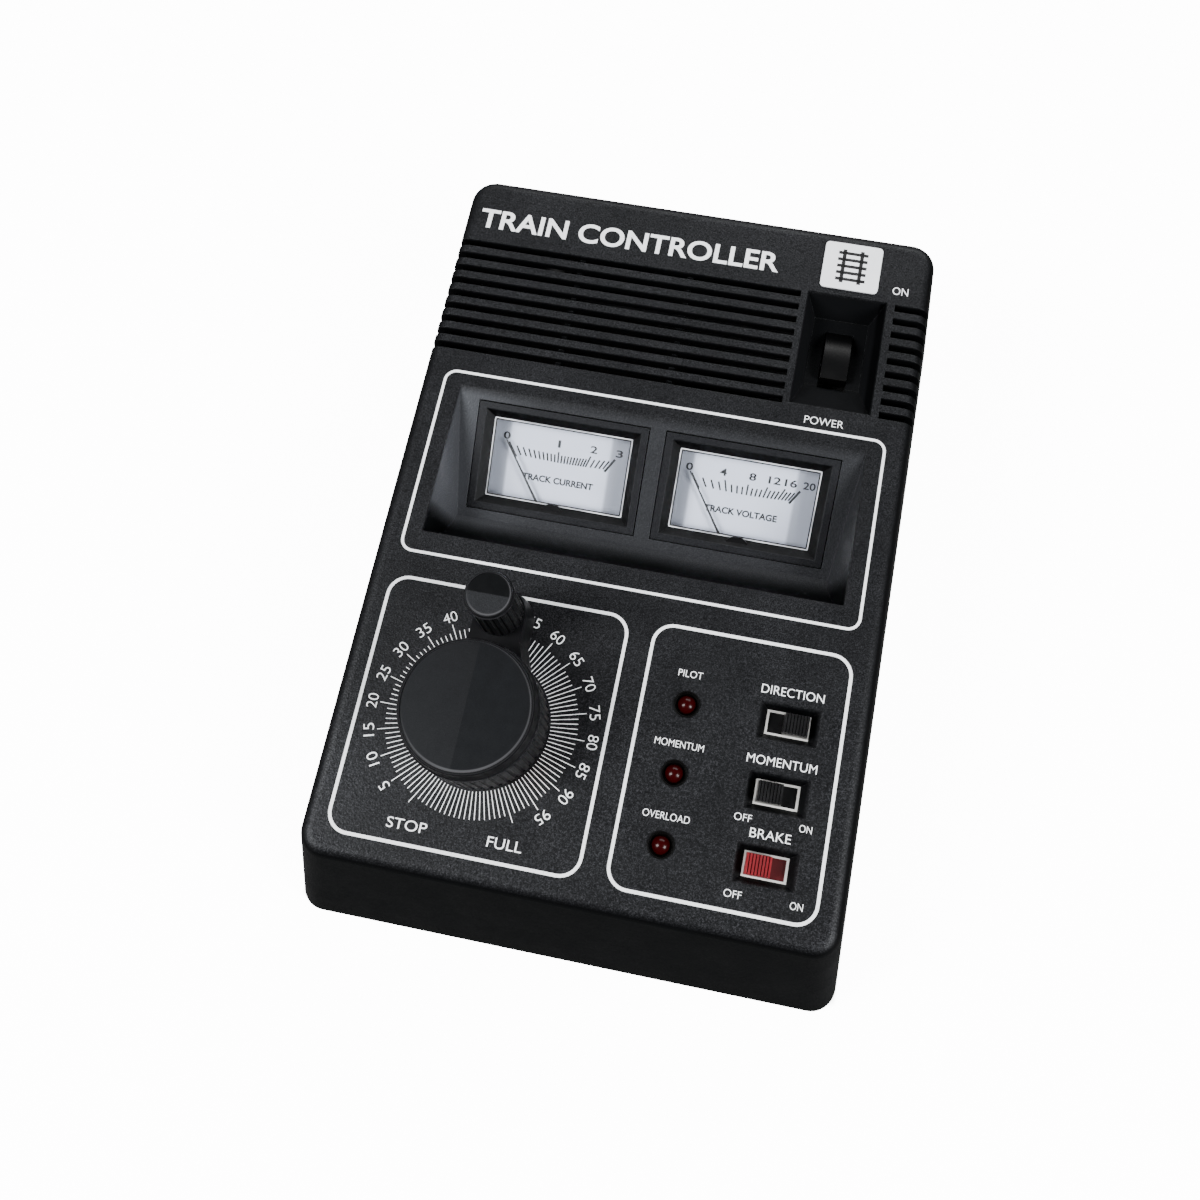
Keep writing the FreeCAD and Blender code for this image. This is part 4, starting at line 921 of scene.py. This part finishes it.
# ---------------------------------------------------------------- meters
ZERO_ANGLE = -34.0
TICK_FOOT = 0.8              # heights above the middle of the window
TICK_TOP = 3.1
END_MARK = (0.5, 4.6)
NUMBER_LINE = 6.4
WORDS_AT = (-0.4, -4.7)
FOOT_SPREAD = 0.5            # how much higher the outermost ticks start and end
TOP_SPREAD = 0.9
NUMBERED_LONGER = 0.9
TICK_WIDTH = 0.48
END_MARK_WIDTH = 0.7
NUMBER_HEIGHT = 2.2
NUMBER_WEIGHT = 0.022
WORDS_SIZE = (2.0, 21.6)     # height, width
WORDS_WEIGHT = 0.034
SCALES = {
    "current_meter": {"words": "TRACK CURRENT", "last": 3, "swing": (35.25, -4.35),
                      "numbers": {0: -17.4, 1: -1.4, 2: 9.1, 3: 16.8},
                      "ticks": [n / 10 for n in range(1, 20)] + [2.0, 2.2, 2.4, 2.6, 2.8]},
    "voltage_meter": {"words": "TRACK VOLTAGE", "last": 20, "swing": (5.05, -0.0865),
                      "numbers": {0: -17.5, 4: -7.4, 8: 1.3, 12: 7.8, 16: 12.6, 20: 18.0},
                      "ticks": list(range(1, 20))},
}


def meter_angle(scale, value):
    """Where a reading lies, in degrees clockwise from upright: the scale closes up towards its end."""
    first, second = scale["swing"]
    return ZERO_ANGLE + first * value + second * value * value


def tick_point(angle, v):
    """The point on a needle's line at a height above the middle of the window."""
    return Vector((math.tan(math.radians(angle)) * (v + PIVOT_DROP), v))


def number_width(value):
    """A figure 1 is narrow, and two figures are wide."""
    if value == 1:
        return 0.8
    return 2.1 if value < 10 else 3.6


def print_scale(meter, face):
    """A meter's ticks, numbers and words."""
    scale = SCALES[meter]
    ink = Print(meter + "_print", face, -SCALE_DEPTH)
    for value in scale["ticks"]:
        angle = meter_angle(scale, value)
        spread = (angle / ZERO_ANGLE) ** 2
        foot = TICK_FOOT + FOOT_SPREAD * spread
        top = TICK_TOP + TOP_SPREAD * spread
        if value in scale["numbers"]:
            top += NUMBERED_LONGER
        ink.strip(tick_point(angle, foot), tick_point(angle, top), TICK_WIDTH)
    for value in (0, scale["last"]):
        foot, top = (tick_point(meter_angle(scale, value), v) for v in END_MARK)
        ink.strip(foot, top, END_MARK_WIDTH)
    for value, x in scale["numbers"].items():
        ink.text(str(value), (x, NUMBER_LINE), NUMBER_HEIGHT, number_width(value), NUMBER_WEIGHT)
    ink.text(scale["words"], WORDS_AT, *WORDS_SIZE, WORDS_WEIGHT)
    ink.finish(*BLACK)


# the edge line is a painted highlight, the seam line a painted shadow
COVER_LINES = (              # name, inset from the window's edge, line width, slot and finish
    ("_cover_edge", 0.2, 0.30, ("clear_window", "cover_edge")),
    ("_cover_seam_shadow", 0.6, 0.34, BLACK),
)
COVER_CORNER = 0.3


def cover_edges(meter, face):
    """A painted highlight along the edge of a meter's clear cover, and a painted shadow along the seam inside it.
    """
    x, v = WINDOW_HALF
    for name, inset, width, look in COVER_LINES:
        line = Print(meter + name, face, -WINDOW_DEPTH)
        line.frame((inset - x, x - inset), (inset - v, v - inset), COVER_CORNER, width)
        line.finish(*look)


print_frames()
print_dial()
print_labels()
print_title()
print_badge()
for meter, face in METER_FACES.items():
    print_scale(meter, face)
    cover_edges(meter, face)


# ---------------------------------------------------------------- floor, light and camera
FLOOR_REACH = 3.0            # metres each way
LAMP_AIM = Vector((0, 0, 0.03))
LAMPS = (                    # name, place and size in metres, watts
    ("front_left", (-0.85, -0.45, 0.95), (0.5, 0.7), 33),
    ("front_right", (0.95, -0.45, 0.75), (0.5, 0.6), 28),
    ("back", (0.1, 1.1, 0.8), (1.2, 0.4), 12),
)
BACKDROP = (0.93, 0.96, 1.0, 1.0)


def make_floor():
    """A square of paper under the case."""
    mesh = bmesh.new()
    corners = ((-1, -1), (1, -1), (1, 1), (-1, 1))
    mesh.faces.new([mesh.verts.new((x * FLOOR_REACH, y * FLOOR_REACH, 0)) for x, y in corners])
    new_object("floor", mesh, "floor_white")


def softbox(name, place, size, power):
    """A rectangular studio light."""
    data = bpy.data.lights.new(name, "AREA")
    data.shape = "RECTANGLE"
    data.size, data.size_y = size
    data.energy = power
    lamp = bpy.data.objects.new(name, data)
    bpy.context.scene.collection.objects.link(lamp)
    lamp.location = place
    lamp.rotation_euler = (LAMP_AIM - lamp.location).to_track_quat("-Z", "Y").to_euler()


def make_backdrop():
    """A world that looks white to the camera and adds only a little light."""
    world = bpy.data.worlds.new("studio")
    world.use_nodes = True
    backdrop = world.node_tree.nodes["Background"]
    backdrop.inputs["Color"].default_value = BACKDROP
    seen = world.node_tree.nodes.new("ShaderNodeLightPath").outputs["Is Camera Ray"]
    strength = world.node_tree.nodes.new("ShaderNodeMapRange")
    strength.inputs["To Min"].default_value = WORLD_GLOW
    strength.inputs["To Max"].default_value = FLOOR_GLOW
    world.node_tree.links.new(seen, strength.inputs["Value"])
    world.node_tree.links.new(strength.outputs["Result"], backdrop.inputs["Strength"])
    bpy.context.scene.world = world


CAMERA_PLACE = (28.4, -35.7, 292.0)      # both in the panel frame
CAMERA_AIM = (3.5, 46.2, 0.0)
CAMERA_ROLL = 6.07           # degrees
CAMERA_SENSOR = 36.0
CAMERA_LENS = 33.2
CAMERA_SHIFT = (-0.0333, -0.0167)
CAMERA_NEAREST = 0.01


def make_camera():
    """A camera looking down on the panel, nearly square to it and a little turned."""
    data = bpy.data.cameras.new("camera")
    data.sensor_width = CAMERA_SENSOR
    data.lens = CAMERA_LENS
    data.shift_x, data.shift_y = CAMERA_SHIFT
    data.clip_start = CAMERA_NEAREST
    camera = bpy.data.objects.new("camera", data)
    bpy.context.scene.collection.objects.link(camera)
    place = PANEL @ Vector(CAMERA_PLACE)
    ahead = (PANEL @ Vector(CAMERA_AIM) - place).normalized()
    level = ahead.cross(PANEL_NORMAL).normalized()
    right = Matrix.Rotation(math.radians(CAMERA_ROLL), 3, ahead) @ level
    matrix = Matrix((right, right.cross(ahead), -ahead)).transposed().to_4x4()
    matrix.translation = place
    camera.matrix_world = matrix
    bpy.context.scene.camera = camera


make_floor()
for lamp in LAMPS:
    softbox(*lamp)
make_backdrop()
make_camera()
